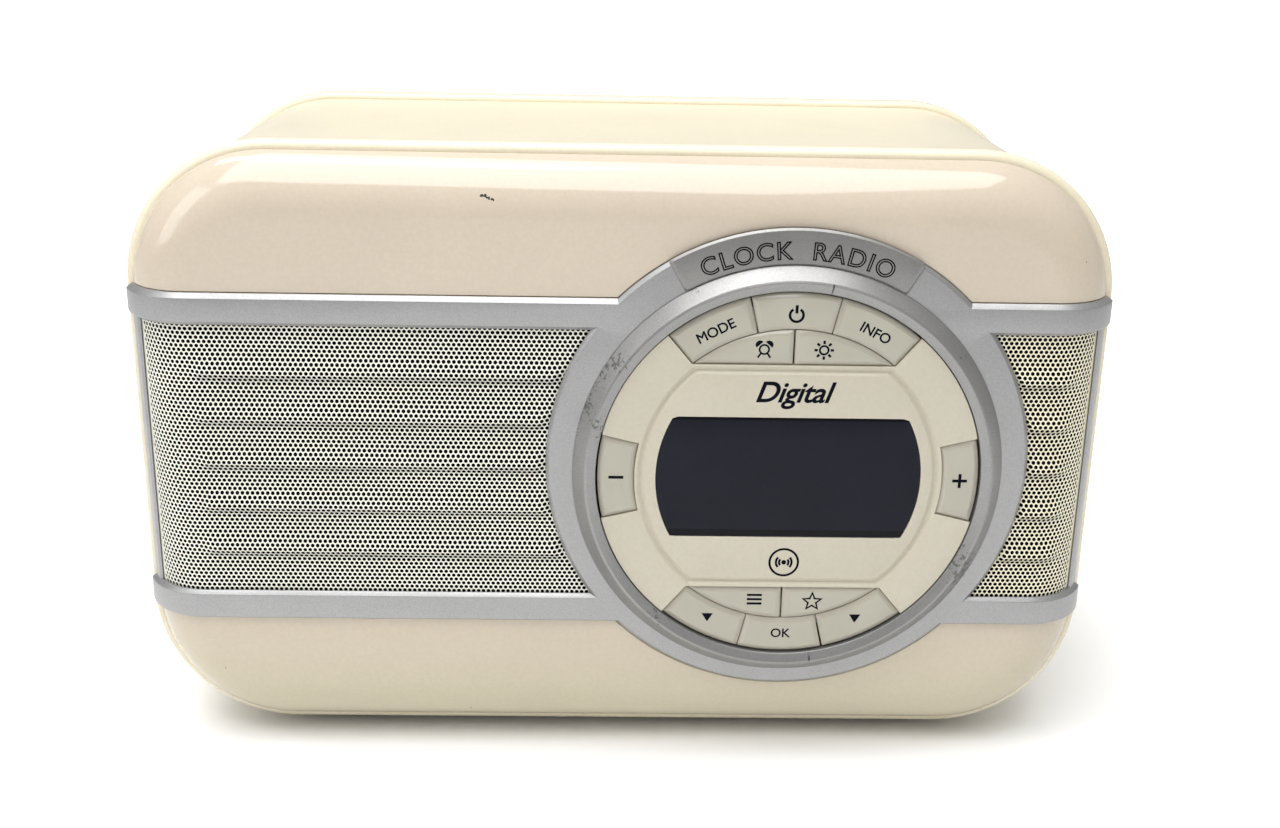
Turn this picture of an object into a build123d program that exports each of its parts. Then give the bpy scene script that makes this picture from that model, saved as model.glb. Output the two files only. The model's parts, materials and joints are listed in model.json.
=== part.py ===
from build123d import *
import math
import os

# Table-top clock radio. Millimetres, +X right, +Y back, +Z up, front facing -Y.
# Origin: middle of the footprint, on the surface that the feet stand on.

# ---------------------------------------------------------------- driving dimensions
BODY_W = 275.6            # nominal moulded outline, seen from the front
BODY_H = 174.7
BODY_R = 40.2             # corner radius of that outline
BODY_Z = 91.35            # height of the outline's centre
WALL = 2.5

FACE_Y = -76.4            # plane of the silver trim's front face
TRIM_T = 1.5              # the trim stands this far proud of the front shell
NOSE_R = 18.0             # bullnose between the front shell's face and its sides
SEAM_Y = FACE_Y + 13.0    # joint between front shell and cabinet
RIM_OUT = 1.2             # the two rims stand proud of the nominal outline
RIM_FRONT_D = 5.1
WAIST_IN = 0.8            # the waist is sunk below the nominal outline
WAIST_END_Y = FACE_Y + 123.1
RIM_REAR_D = 8.5
BACK_Y = FACE_Y + 148.0
BACK_R = 14.0

DIAL_X = 47.2             # axis of the round dial
DIAL_Z = BODY_Z - 2.1
RING_BASE_R = 61.1
RING_EDGE_R = 56.85
RING_INNER_R = 54.4
RING_H = 4.7
RING_TENON_R = 57.5       # the ring and its cup pass through the trim and shell
PLATE_R = 68.5            # round part of the trim, concentric with the body's mid height
PLATE_Z = BODY_Z + 0.2

BAND_TOP = (BODY_Z + 40.65, BODY_Z + 47.1)      # flat faces of the two silver bands
BAND_LOW = (BODY_Z - 48.0, BODY_Z - 41.1)
TOP_BEVEL = 1.4
INNER_BEVEL = 1.1
LOW_BEVEL = 0.4
SIDE_OUT = 0.8            # the upright side members stand less proud than the bands
SIDE_W = 4.4
LABEL_T = 0.8
LABEL_HALF_DEG = 29.8

PANEL_Y = FACE_Y - 3.0    # front plane of the dial panel
PANEL_R = 54.1
BOARD_Y = FACE_Y + 8.0    # front of the key board behind the panel
CUP_FLOOR_Y = FACE_Y + 13.0
BUTTON_OUT_R = 53.45
BUTTON_IN_R = 43.5
BUTTON_GAP = 0.2          # half of the gap between neighbouring caps
BUTTON_TRAVEL = 0.8
CHORD_Z = 33.4            # straight edge of the upper and lower button groups
GROUP_HALF_DEG = 40.0
SPLIT_DEG = 13.4
WINDOW_R = 37.5
WINDOW_TOP = 18.2
WINDOW_LOW = -17.8

FOOT_H = BODY_Z - BODY_H / 2 + WAIST_IN

ANT_X = 88.0             # swivel of the telescopic aerial, on the back
ANT_Z = 152.0
ANT_Y = BACK_Y + 6.0
ANT_TUBE_D = (6.6, 5.2, 3.8, 2.4)
ANT_STEP = 2.5            # each section stands this far out of the one before
ANT_LEN = 118.0

parts = {}


# ---------------------------------------------------------------- helpers
def slab(sketch, y0, y1):
    """Extrude a sketch drawn in X and Z from y0 back to y1."""
    plane = Plane(origin=(0, y0, 0), x_dir=(1, 0, 0), z_dir=(0, -1, 0))
    return extrude(plane * sketch, amount=-(y1 - y0))


def rod_y(radius, y0, y1, x=0.0, z=0.0):
    return slab(Pos(x, z) * Circle(radius), y0, y1)


def block(x0, x1, y0, y1, z0, z1):
    return Pos((x0 + x1) / 2, (y0 + y1) / 2, (z0 + z1) / 2) * Box(x1 - x0, y1 - y0, z1 - z0)


def outline(offset):
    """The body's rounded outline, grown or shrunk by an offset."""
    return Pos(0, BODY_Z) * RectangleRounded(BODY_W + 2 * offset, BODY_H + 2 * offset, BODY_R + offset)


def rounded_end(solid, y, radius):
    """Round the outer edges of a solid that lie in one plane of constant y."""
    edges = solid.edges().filter_by_position(Axis.Y, y - 0.01, y + 0.01)
    return fillet(edges, radius)


def plan(offset):
    """Plan outline of the front shell's bullnosed front, as a sketch in X and Y."""
    depth = 120.0
    front = FACE_Y + TRIM_T - offset
    shape = RectangleRounded(BODY_W + 2 * offset, depth, NOSE_R + offset)
    return Pos(0, front + depth / 2) * shape


def wrap(outer, inner, z0, z1, y_end):
    """A skin between two plan offsets that wraps the front corners, cut off at y_end."""
    ring = extrude(Pos(0, 0, z0) * (plan(outer) - plan(inner)), amount=z1 - z0)
    keep = block(-BODY_W, BODY_W, FACE_Y - 20, y_end, z0 - 1, z1 + 1)
    return ring & keep


def band(z0, z1, low_bevel, top_bevel):
    """One silver band around the front corners, with bevelled long edges."""
    block_solid = extrude(Pos(0, 0, z0) * plan(TRIM_T), amount=z1 - z0)
    block_solid = chamfer(block_solid.edges().group_by(Axis.Z)[-1], top_bevel)
    block_solid = chamfer(block_solid.edges().group_by(Axis.Z)[0], low_bevel)
    core = extrude(Pos(0, 0, z0 - 1) * plan(0), amount=z1 - z0 + 2)
    keep = block(-BODY_W, BODY_W, FACE_Y - 20, SEAM_Y, z0 - 1, z1 + 1)
    return (block_solid - core) & keep


def polar(radius, degrees):
    """Point on the dial, angle clockwise from the top."""
    angle = math.radians(degrees)
    return DIAL_X + radius * math.sin(angle), DIAL_Z + radius * math.cos(angle)


def sector(r_in, r_out, a0, a1):
    """Ring sector on the dial between two clockwise angles."""
    mid = (a0 + a1) / 2
    inner_arc = ThreePointArc(polar(r_in, a0), polar(r_in, mid), polar(r_in, a1))
    outer_arc = ThreePointArc(polar(r_out, a1), polar(r_out, mid), polar(r_out, a0))
    sides = [Line(polar(r_in, a1), polar(r_out, a1)), Line(polar(r_out, a0), polar(r_in, a0))]
    return make_face([inner_arc, sides[0], outer_arc, sides[1]])


def dial_circle(radius):
    return Pos(DIAL_X, DIAL_Z) * Circle(radius)


def dial_rect(x0, x1, z0, z1):
    return Pos(DIAL_X + (x0 + x1) / 2, DIAL_Z + (z0 + z1) / 2) * Rectangle(x1 - x0, z1 - z0)


def mirrored(points):
    return [(sx * x, BODY_Z + sz * z) for sx in (-1, 1) for sz in (-1, 1) for x, z in points]


BOSS_XZ = mirrored([(112.0, 61.5)])


# ---------------------------------------------------------------- case
def bosses(y0, y1, pilot):
    """Four screw bosses with 45 degree ribs out to the corner walls."""
    solids = []
    for x, z in BOSS_XZ:
        side = 1 if x > 0 else -1
        up = 1 if z > BODY_Z else -1
        rib = Pos(x + side * 7.5, (y0 + y1) / 2, z + up * 7.5)
        rib = rib * Rot(0, -45 * side * up, 0) * Box(22, y1 - y0, 2.4)
        boss = rod_y(4.5, y0, y1, x, z) + (rib & slab(outline(-WALL), y0, y1))
        solids.append(boss - rod_y(pilot, y0 - 1, y1 + 1, x, z))
    return solids


def front_shell():
    front = FACE_Y + TRIM_T
    outer = rounded_end(slab(outline(0), front, front + 30), front, NOSE_R)
    inner = rounded_end(slab(outline(-WALL), front + WALL, front + 40), front + WALL, NOSE_R - WALL)
    shell = outer & slab(outline(5), front - 5, SEAM_Y)
    for boss in bosses(front + 1, SEAM_Y, 1.25):
        inner = inner - boss
    shell = shell - inner
    rebate = wrap(0.5, -TRIM_T, BAND_LOW[1] - 1.2, BAND_TOP[0] + 1.2, FACE_Y + 10)
    shell = shell - rebate
    shell = shell - slab(dial_circle(RING_TENON_R + 0.4), front - 1, SEAM_Y)
    shell = shell - rod_y(34, front, SEAM_Y, SPEAKER_X, BODY_Z)
    centre = Pos(SMALL_SPEAKER_X, BODY_Z)
    seat = slab(centre * RectangleRounded(19, 60, 8), front, SMALL_SPEAKER_Y)
    inside_wall = extrude(Pos(0, 0, 0) * plan(-WALL + 0.2), amount=BODY_H + 10)
    shell = shell + (seat & inside_wall)
    shell = shell - slab(centre * RectangleRounded(12, 52, 5), front, SEAM_Y)
    for x, z in SPEAKER_HOLES:
        shell = shell + (rod_y(3.4, INSIDE_Y - 0.2, SPEAKER_Y, x, z) - rod_y(1.25, INSIDE_Y, SPEAKER_Y, x, z))
    return shell


def panels(sleeve):
    """Split a sleeve through the middle of its corners into top, base and two side mouldings."""
    apex = (BODY_W - BODY_H) / 2
    reach = BODY_H
    right = [(apex, 0), (apex + reach, -reach), (apex + reach, reach)]
    top = [(-apex, 0), (apex, 0), (apex + reach, reach), (-apex - reach, reach)]
    masks = [right, [(-x, -z) for x, z in right], top, [(-x, -z) for x, z in top]]
    solids = []
    for points in masks:
        mask = Pos(0, BODY_Z) * Polygon(*points, align=None)
        solids += (sleeve & slab(mask, SEAM_Y - 1, BACK_Y + 1)).solids()
    return solids


def cabinet():
    """Sleeve with the front rim and the sunken waist, moulded in four panels."""
    rim = slab(outline(RIM_OUT), SEAM_Y, SEAM_Y + RIM_FRONT_D)
    rim = rounded_end(rim, SEAM_Y, 2.2)
    rim = rounded_end(rim, SEAM_Y + RIM_FRONT_D, 1.2)
    sleeve = rim + slab(outline(-WAIST_IN), SEAM_Y, WAIST_END_Y)
    sleeve = sleeve - slab(outline(-WAIST_IN - 3.0), SEAM_Y - 1, WAIST_END_Y + 1)
    for boss in bosses(WAIST_END_Y - 30, WAIST_END_Y, 1.25) + bosses(SEAM_Y, SEAM_Y + 10, 1.7):
        sleeve = sleeve + (boss & slab(outline(-WAIST_IN - 1), SEAM_Y, WAIST_END_Y))
    for x, y in BOARD_POSTS:
        post = Pos(x, y, (FOOT_H + BOARD_Z) / 2 + 0.5) * Cylinder(3.2, BOARD_Z - FOOT_H - 1)
        sleeve = sleeve + (post - Pos(x, y, BOARD_Z) * Cylinder(1.25, 20))
    return Compound(children=panels(sleeve))


def rear_shell():
    """Flat back wall with its openings and screw posts, inside a bullnosed four-part surround."""
    rim_end = WAIST_END_Y + RIM_REAR_D
    rim = slab(outline(RIM_OUT), WAIST_END_Y, rim_end)
    rim = rounded_end(rim, WAIST_END_Y, 1.2)
    rim = rounded_end(rim, rim_end, 2.2)
    back = rounded_end(slab(outline(0), WAIST_END_Y, BACK_Y), BACK_Y, BACK_R)
    inner = slab(outline(-WALL - 1.3), WAIST_END_Y - 1, BACK_Y - WALL)
    inner = rounded_end(inner, BACK_Y - WALL, BACK_R - WALL)
    for x, z in BOSS_XZ:
        inner = inner - rod_y(4.5, WAIST_END_Y, BACK_Y, x, z)
    shell = rim + back - inner
    for x, z in BOSS_XZ:
        shell = shell - rod_y(1.7, WAIST_END_Y - 1, BACK_Y + 1, x, z)
        shell = shell - rod_y(3.3, BACK_Y - 3.2, BACK_Y + 1, x, z)
    shell = shell - slab(Pos(PLATE_C[0], PLATE_C[1]) * RectangleRounded(PLATE_W, PLATE_HT, 3),
                         BACK_Y - 1.5, BACK_Y + 1)
    shell = shell - slab(Pos(PLATE_C[0], PLATE_C[1]) * RectangleRounded(PLATE_W - 5, PLATE_HT - 5, 2),
                         BACK_Y - 10, BACK_Y + 1)
    shell = shell - rod_y(PORT_R + 2.2, BACK_Y - 10, BACK_Y + 1, PORT_X, PORT_Z)
    for row in range(VENT_ROWS):
        z = VENT_Z + row * 5.0
        slot = Pos(VENT_X, z) * SlotOverall(46, 2.0)
        shell = shell - slab(slot, BACK_Y - 10, BACK_Y + 1)
    shell = shell - rod_y(5.0, BACK_Y - 10, BACK_Y + 1, ANT_X, ANT_Z)
    wall_zone = slab(outline(-BACK_R), BACK_Y - WALL, BACK_Y + 1)
    wall = shell & wall_zone
    clear = (PLATE_HT - 5) / 2
    levels = [0, PLATE_C[1] - clear, PLATE_C[1] + clear, PORT_Z - PORT_CLEAR, PORT_Z + PORT_CLEAR, 2 * BODY_H]
    solids = []
    for low, high in zip(levels, levels[1:]):
        solids += (wall & block(-BODY_W, BODY_W, SEAM_Y, BACK_Y + 1, low, high)).solids()
    surround = shell - wall_zone
    for x, z in BOSS_XZ:
        post_zone = rod_y(4.6, WAIST_END_Y - 1, BACK_Y - WALL, x, z)
        solids += (surround & post_zone).solids().filter_by(lambda solid: solid.volume > 1)
        surround = surround - post_zone
    return Compound(children=solids + panels(surround))


# ---------------------------------------------------------------- trim and grilles
def bevelled_disc(radius, y0, y1, bevel):
    """Disc on the trim's round centre with its front edge bevelled."""
    disc = slab(Pos(DIAL_X, PLATE_Z) * Circle(radius), y0, y1)
    edges = disc.edges().filter_by_position(Axis.Y, y0 - 0.01, y0 + 0.01)
    return chamfer(edges, bevel)


def trim_frame():
    """Silver moulding: two bands that wrap the corners, round plate and side members."""
    trim = bevelled_disc(PLATE_R, FACE_Y, FACE_Y + TRIM_T, INNER_BEVEL)
    trim = trim + band(BAND_TOP[0] - INNER_BEVEL, BAND_TOP[1] + TOP_BEVEL, INNER_BEVEL, TOP_BEVEL)
    trim = trim + band(BAND_LOW[0] - LOW_BEVEL, BAND_LOW[1] + INNER_BEVEL, LOW_BEVEL, INNER_BEVEL)
    member = wrap(SIDE_OUT, 0, BAND_LOW[1], BAND_TOP[0], SEAM_Y)
    trim = trim + (member & block(-BODY_W, BODY_W, SEAM_Y - SIDE_W, SEAM_Y, 0, 200))
    return trim - slab(dial_circle(RING_TENON_R + 0.3), FACE_Y - 1, SEAM_Y)


def grille_zone(side):
    """Region of one grille, held 1.2 mm under the trim's edges."""
    zone = block(-BODY_W, BODY_W, FACE_Y, FACE_Y + 9.6, BAND_LOW[1] - 1.1, BAND_TOP[0] + 1.1)
    cut = slab(Pos(DIAL_X, PLATE_Z) * Circle(PLATE_R - 1.2), FACE_Y - 1, FACE_Y + 9.6)
    half = block(DIAL_X, BODY_W, FACE_Y - 1, SEAM_Y, 0, 200)
    if side < 0:
        half = block(-BODY_W, DIAL_X, FACE_Y - 1, SEAM_Y, 0, 200)
    return (zone - cut) & half


def grille(side):
    sheet = wrap(-0.4, -1.1, BAND_LOW[1] - 1.1, BAND_TOP[0] + 1.1, FACE_Y + 9.6)
    return sheet & grille_zone(side)


def grille_cloth(side):
    sheet = wrap(-1.1, -TRIM_T, BAND_LOW[1] - 1.1, BAND_TOP[0] + 1.1, FACE_Y + 9.6)
    return sheet & grille_zone(side)


def label_plate():
    """Raised name plate over the top of the round trim, left without a name."""
    arc = slab(sector(RING_BASE_R + 0.15, 80, -LABEL_HALF_DEG, LABEL_HALF_DEG), FACE_Y - 5, SEAM_Y)
    plate = bevelled_disc(PLATE_R + 0.4, FACE_Y - LABEL_T, FACE_Y, LABEL_T - 0.1)
    skirt = slab(Pos(DIAL_X, PLATE_Z) * Circle(PLATE_R + 0.4), FACE_Y, FACE_Y + TRIM_T)
    skirt = skirt - slab(Pos(DIAL_X, PLATE_Z) * Circle(PLATE_R + 0.02), FACE_Y - 1, SEAM_Y)
    return (plate + skirt) & arc


# ---------------------------------------------------------------- dial
def dial_ring():
    points = [(RING_TENON_R, 1.6), (RING_TENON_R, 0), (RING_BASE_R, 0), (RING_EDGE_R, -RING_H),
              (RING_INNER_R, -RING_H + 1.15), (RING_INNER_R, 1.6)]
    corners = [Vector(DIAL_X + r, FACE_Y + y, DIAL_Z) for r, y in points]
    bulge = Vector(DIAL_X + 59.3, FACE_Y - RING_H * 0.53, DIAL_Z)
    edges = [Line(corners[i], corners[(i + 1) % 6]) for i in range(6) if i != 2]
    edges.append(ThreePointArc(corners[2], bulge, corners[3]))
    profile = make_face(edges)
    ring = revolve(profile, Axis((DIAL_X, 0, DIAL_Z), (0, 1, 0)), 360)
    for degrees, depth in ((9.6, 2.6), (171.1, 2.2)):
        x, z = polar(RING_EDGE_R - 1.2, degrees)
        ring = ring - Pos(x, FACE_Y - RING_H, z) * Rot(0, degrees, 0) * Box(0.5, 1.0, depth * 1.6)
    return ring


def dial_housing():
    """Cup that carries the ring, the panel and the key board."""
    cup = rod_y(RING_TENON_R, FACE_Y + 1.6, CUP_FLOOR_Y + 2, DIAL_X, DIAL_Z)
    cup = cup - rod_y(54.9, FACE_Y, CUP_FLOOR_Y, DIAL_X, DIAL_Z)
    cup = cup - slab(dial_rect(-20, 20, -8, 8), FACE_Y, CUP_FLOOR_Y + 3)
    flange = rod_y(60.0, FACE_Y + 4.0, FACE_Y + 6.0, DIAL_X, DIAL_Z)
    cup = cup + (flange - rod_y(57.0, FACE_Y, FACE_Y + 10, DIAL_X, DIAL_Z))
    for degrees in (45, 135, 225, 315):
        x, z = polar(40.0, degrees)
        cup = cup + rod_y(3.0, BOARD_Y + 1.6, CUP_FLOOR_Y, x, z)
    return cup


def arc_button(a0, a1):
    """Sketch of a key in the outer ring of keys."""
    trim = math.degrees(BUTTON_GAP / 48.5)
    return fillet(sector(BUTTON_IN_R, BUTTON_OUT_R, a0 + trim, a1 - trim).vertices(), 0.6)


def chord_button(side, up):
    """Sketch of a key between the straight edge and the outer ring of keys."""
    low, high = (CHORD_Z + BUTTON_GAP, 60) if up > 0 else (-60, -CHORD_Z - BUTTON_GAP)
    left, right = (BUTTON_GAP, 40) if side > 0 else (-40, -BUTTON_GAP)
    return dial_circle(BUTTON_IN_R - 2 * BUTTON_GAP) & dial_rect(left, right, low, high)


BUTTONS = {
    "button_mode": arc_button(-GROUP_HALF_DEG, -SPLIT_DEG),
    "button_power": arc_button(-SPLIT_DEG, SPLIT_DEG),
    "button_info": arc_button(SPLIT_DEG, GROUP_HALF_DEG),
    "button_alarm": chord_button(-1, 1),
    "button_brightness": chord_button(1, 1),
    "button_minus": arc_button(-90 - SPLIT_DEG, -90 + SPLIT_DEG),
    "button_plus": arc_button(90 - SPLIT_DEG, 90 + SPLIT_DEG),
    "button_menu": chord_button(-1, -1),
    "button_favourite": chord_button(1, -1),
    "button_previous": arc_button(180 + SPLIT_DEG, 180 + GROUP_HALF_DEG),
    "button_ok": arc_button(180 - SPLIT_DEG, 180 + SPLIT_DEG),
    "button_next": arc_button(180 - GROUP_HALF_DEG, 180 - SPLIT_DEG),
}
CAP_FRONT_Y = PANEL_Y - 0.1
CAP_BACK_Y = FACE_Y + 0.6
STEM_END_Y = FACE_Y + 2.8
SWITCH_FRONT_Y = STEM_END_Y + BUTTON_TRAVEL + 0.1


def button_cap(sketch):
    """Key cap with a bevelled face and a stem that works the switch behind it."""
    cap = slab(sketch, CAP_FRONT_Y, CAP_BACK_Y)
    edges = cap.edges().filter_by_position(Axis.Y, CAP_FRONT_Y - 0.01, CAP_FRONT_Y + 0.01)
    cap = chamfer(edges, 0.4)
    centre = sketch.center()
    return cap + rod_y(1.6, CAP_BACK_Y, STEM_END_Y, centre.X, centre.Y)


def window_outline(gap):
    rect = dial_rect(-60, 60, WINDOW_LOW + gap, WINDOW_TOP - gap)
    return dial_circle(WINDOW_R - gap) & rect


def groove_outline(inset):
    return dial_circle(42.9 - inset) & dial_rect(-60, 60, -32.9 + inset, 32.9 - inset)


def dial_panel():
    """Cream disc with the key openings, the display opening and a shallow moulded groove."""
    panel = slab(dial_circle(PANEL_R), PANEL_Y, PANEL_Y + 2.8)
    group = sector(BUTTON_IN_R - 0.15, 60, -GROUP_HALF_DEG - 0.15, GROUP_HALF_DEG + 0.15)
    group = group + (dial_circle(BUTTON_IN_R) & dial_rect(-60, 60, CHORD_Z - 0.1, 60))
    low_group = sector(BUTTON_IN_R - 0.15, 60, 179.85 - GROUP_HALF_DEG, 180.15 + GROUP_HALF_DEG)
    low_group = low_group + (dial_circle(BUTTON_IN_R) & dial_rect(-60, 60, -60, 0.1 - CHORD_Z))
    openings = [group, low_group, window_outline(0)]
    for middle in (-90, 90):
        openings.append(sector(BUTTON_IN_R - 0.2, 60, middle - SPLIT_DEG - 0.2, middle + SPLIT_DEG + 0.2))
    groove = slab(groove_outline(0), PANEL_Y, PANEL_Y + 0.35) - slab(groove_outline(2.3), PANEL_Y, PANEL_Y + 0.35)
    panel = panel - groove
    for opening in openings:
        panel = panel - slab(opening, PANEL_Y - 1, PANEL_Y + 4)
    for degrees in (-58, 58, -122, 122):
        x, z = polar(48.0, degrees)
        panel = panel + rod_y(2.6, PANEL_Y + 2, BOARD_Y, x, z)
        panel = panel - rod_y(0.9, BOARD_Y - 5, BOARD_Y, x, z)
    return panel


def display_window():
    return slab(window_outline(0.12), PANEL_Y + 0.1, PANEL_Y + 1.9)


def display_module():
    """Glass display cell in its metal bezel."""
    cell = slab(dial_rect(-30.5, 30.5, -16.5, 16.9), PANEL_Y + 2.0, PANEL_Y + 4.4)
    back = slab(dial_rect(-34, 34, -18.5, 18.5), PANEL_Y + 4.4, BOARD_Y)
    return cell + back


def key_board():
    board = rod_y(52.5, BOARD_Y, BOARD_Y + 1.6, DIAL_X, DIAL_Z)
    for degrees in (-58, 58, -122, 122):
        x, z = polar(48.0, degrees)
        board = board - rod_y(1.2, BOARD_Y - 1, BOARD_Y + 3, x, z)
    return board


def key_switches():
    """Tactile switches, one behind each key."""
    solids = []
    for sketch in BUTTONS.values():
        centre = sketch.center()
        body = slab(Pos(centre.X, centre.Y) * Rectangle(6.0, 6.0), SWITCH_FRONT_Y + 1.0, BOARD_Y)
        solids.append(body + rod_y(1.6, SWITCH_FRONT_Y, SWITCH_FRONT_Y + 1.0, centre.X, centre.Y))
    return Compound(children=solids)


def key_board_screws():
    solids = []
    for degrees in (-58, 58, -122, 122):
        x, z = polar(48.0, degrees)
        head = rod_y(2.2, BOARD_Y + 1.6, BOARD_Y + 3.0, x, z)
        solids.append(head + rod_y(0.85, BOARD_Y - 4.5, BOARD_Y + 1.6, x, z))
    return Compound(children=solids)


# ---------------------------------------------------------------- loudspeakers
SPEAKER_X = -78.0
SPEAKER_Y = FACE_Y + 8.0
INSIDE_Y = FACE_Y + TRIM_T + WALL      # inner face of the front shell
SMALL_SPEAKER_X = 118.5
SMALL_SPEAKER_Y = FACE_Y + 6.8


def cone_solid(r0, r1, y0, y1, x, z):
    """Solid truncated cone along Y, radius r0 at y0 and r1 at y1."""
    points = [(0, y0), (r0, y0), (r1, y1), (0, y1)]
    face = make_face(Polyline(*[(x + r, y, z) for r, y in points], close=True))
    return revolve(face, Axis((x, 0, z), (0, 1, 0)), 360)


SPEAKER_HOLES = [(SPEAKER_X + sx * 34, BODY_Z + sz * 34) for sx in (-1, 1) for sz in (-1, 1)]


def speaker_basket():
    flange = slab(Pos(SPEAKER_X, BODY_Z) * RectangleRounded(80, 80, 12), SPEAKER_Y, SPEAKER_Y + 2)
    body = cone_solid(37, 20, SPEAKER_Y + 2, SPEAKER_Y + 20, SPEAKER_X, BODY_Z)
    hollow = cone_solid(35.5, 18.5, SPEAKER_Y + 1.9, SPEAKER_Y + 18.5, SPEAKER_X, BODY_Z)
    basket = flange + body - hollow - rod_y(35.5, SPEAKER_Y - 1, SPEAKER_Y + 2, SPEAKER_X, BODY_Z)
    for x, z in SPEAKER_HOLES:
        basket = basket - rod_y(1.9, SPEAKER_Y - 1, SPEAKER_Y + 3, x, z)
    for step in range(6):
        angle = math.radians(60 * step)
        x = SPEAKER_X + 27 * math.cos(angle)
        z = BODY_Z + 27 * math.sin(angle)
        basket = basket - rod_y(5.5, SPEAKER_Y + 4, SPEAKER_Y + 18, x, z)
    return basket


def speaker_cone():
    """Paper cone with its rolled surround and dust cap."""
    outer = cone_solid(33, 10, SPEAKER_Y + 1.5, SPEAKER_Y + 15, SPEAKER_X, BODY_Z)
    inner = cone_solid(32.2, 9.2, SPEAKER_Y + 1.4, SPEAKER_Y + 14.2, SPEAKER_X, BODY_Z)
    surround = rod_y(35.3, SPEAKER_Y + 0.6, SPEAKER_Y + 1.6, SPEAKER_X, BODY_Z)
    surround = surround - rod_y(32.2, SPEAKER_Y, SPEAKER_Y + 2, SPEAKER_X, BODY_Z)
    cap = Pos(SPEAKER_X, SPEAKER_Y + 17.5, BODY_Z) * Sphere(12.5)
    cap = cap & rod_y(12.4, SPEAKER_Y + 4, SPEAKER_Y + 13.2, SPEAKER_X, BODY_Z)
    return outer - inner + surround + cap


def speaker_magnet():
    yoke = rod_y(20, SPEAKER_Y + 20, SPEAKER_Y + 23, SPEAKER_X, BODY_Z)
    magnet = rod_y(24, SPEAKER_Y + 23, SPEAKER_Y + 35, SPEAKER_X, BODY_Z)
    return yoke + magnet + rod_y(21, SPEAKER_Y + 35, SPEAKER_Y + 38, SPEAKER_X, BODY_Z)


def speaker_gasket():
    return rod_y(39, INSIDE_Y, SPEAKER_Y, SPEAKER_X, BODY_Z) - rod_y(35.5, FACE_Y, SPEAKER_Y + 1, SPEAKER_X, BODY_Z)


def speaker_screws():
    solids = []
    for x, z in SPEAKER_HOLES:
        head = rod_y(3.2, SPEAKER_Y + 2, SPEAKER_Y + 4, x, z)
        solids.append(head + rod_y(1.2, INSIDE_Y + 0.2, SPEAKER_Y + 2, x, z))
    return Compound(children=solids)


def small_speaker_body():
    centre = Pos(SMALL_SPEAKER_X, BODY_Z)
    body = slab(centre * RectangleRounded(19, 60, 8), SMALL_SPEAKER_Y, SMALL_SPEAKER_Y + 9)
    return body - slab(centre * RectangleRounded(16.4, 57.4, 6.8), SMALL_SPEAKER_Y - 1, SMALL_SPEAKER_Y + 7)


def small_speaker_cone():
    centre = Pos(SMALL_SPEAKER_X, BODY_Z)
    roll = slab(centre * RectangleRounded(16, 57, 6.6), SMALL_SPEAKER_Y + 1, SMALL_SPEAKER_Y + 2)
    roll = roll - slab(centre * RectangleRounded(12, 53, 5), SMALL_SPEAKER_Y, SMALL_SPEAKER_Y + 3)
    cup = slab(centre * RectangleRounded(12.4, 53.4, 5.2), SMALL_SPEAKER_Y + 1, SMALL_SPEAKER_Y + 5)
    return roll + cup - slab(centre * RectangleRounded(11, 52, 4.6), SMALL_SPEAKER_Y, SMALL_SPEAKER_Y + 4)


# ---------------------------------------------------------------- electronics and sockets
BOARD_Z = 24.0
BOARD_X0, BOARD_X1 = -95.0, 75.0
BOARD_Y0, BOARD_Y1 = -30.0, 36.0
BOARD_POSTS = [(x, y) for x in (BOARD_X0 + 6, BOARD_X1 - 6) for y in (BOARD_Y0 + 6, BOARD_Y1 - 6)]
PLATE_C = (10.0, 38.0)
PLATE_W = 118.0
PLATE_HT = 26.0
PORT_X, PORT_Z, PORT_R = -72.0, 108.0, 15.0
PORT_CLEAR = 10.6             # half of the square that fits the port between its quarters
VENT_X, VENT_Z, VENT_ROWS = 10.0, 84.0, 9
SOCKET_BOARD_Y = BACK_Y - 13.6
SOCKET_POST_X = (-17.0, 37.0)
SOCKET_X = {"dc": -32.0, "line_in": -2.0, "headphones": 24.0, "usb": 50.0}


def main_board():
    board = block(BOARD_X0, BOARD_X1, BOARD_Y0, BOARD_Y1, BOARD_Z, BOARD_Z + 1.6)
    for x, y in BOARD_POSTS:
        board = board - Pos(x, y, BOARD_Z) * Cylinder(1.6, 10)
    return board


def main_board_screws():
    solids = []
    for x, y in BOARD_POSTS:
        head = Pos(x, y, BOARD_Z + 2.6) * Cylinder(2.8, 2.0)
        solids.append(head + Pos(x, y, BOARD_Z - 2.2) * Cylinder(1.2, 7.6))
    return Compound(children=solids)


def tuner_module():
    can = block(-84, -50, -18, 12, BOARD_Z + 1.6, BOARD_Z + 7.0)
    return fillet(can.edges().filter_by(Axis.Z), 1.0)


def heat_sink():
    base = block(30, 62, -14, -4, BOARD_Z + 1.6, BOARD_Z + 4)
    for step in range(6):
        base = base + block(31 + step * 5.6, 32.6 + step * 5.6, -14, -4, BOARD_Z + 4, BOARD_Z + 20)
    return base


def capacitors():
    solids = []
    for x, y, radius, height in ((-30, -8, 6.5, 20), (-12, -8, 6.5, 20), (4, -12, 4.0, 12), (4, 2, 4.0, 12)):
        can = Pos(x, y, BOARD_Z + 1.6 + height / 2) * Cylinder(radius, height)
        solids.append(fillet(can.edges(), 0.6))
    return Compound(children=solids)


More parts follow.
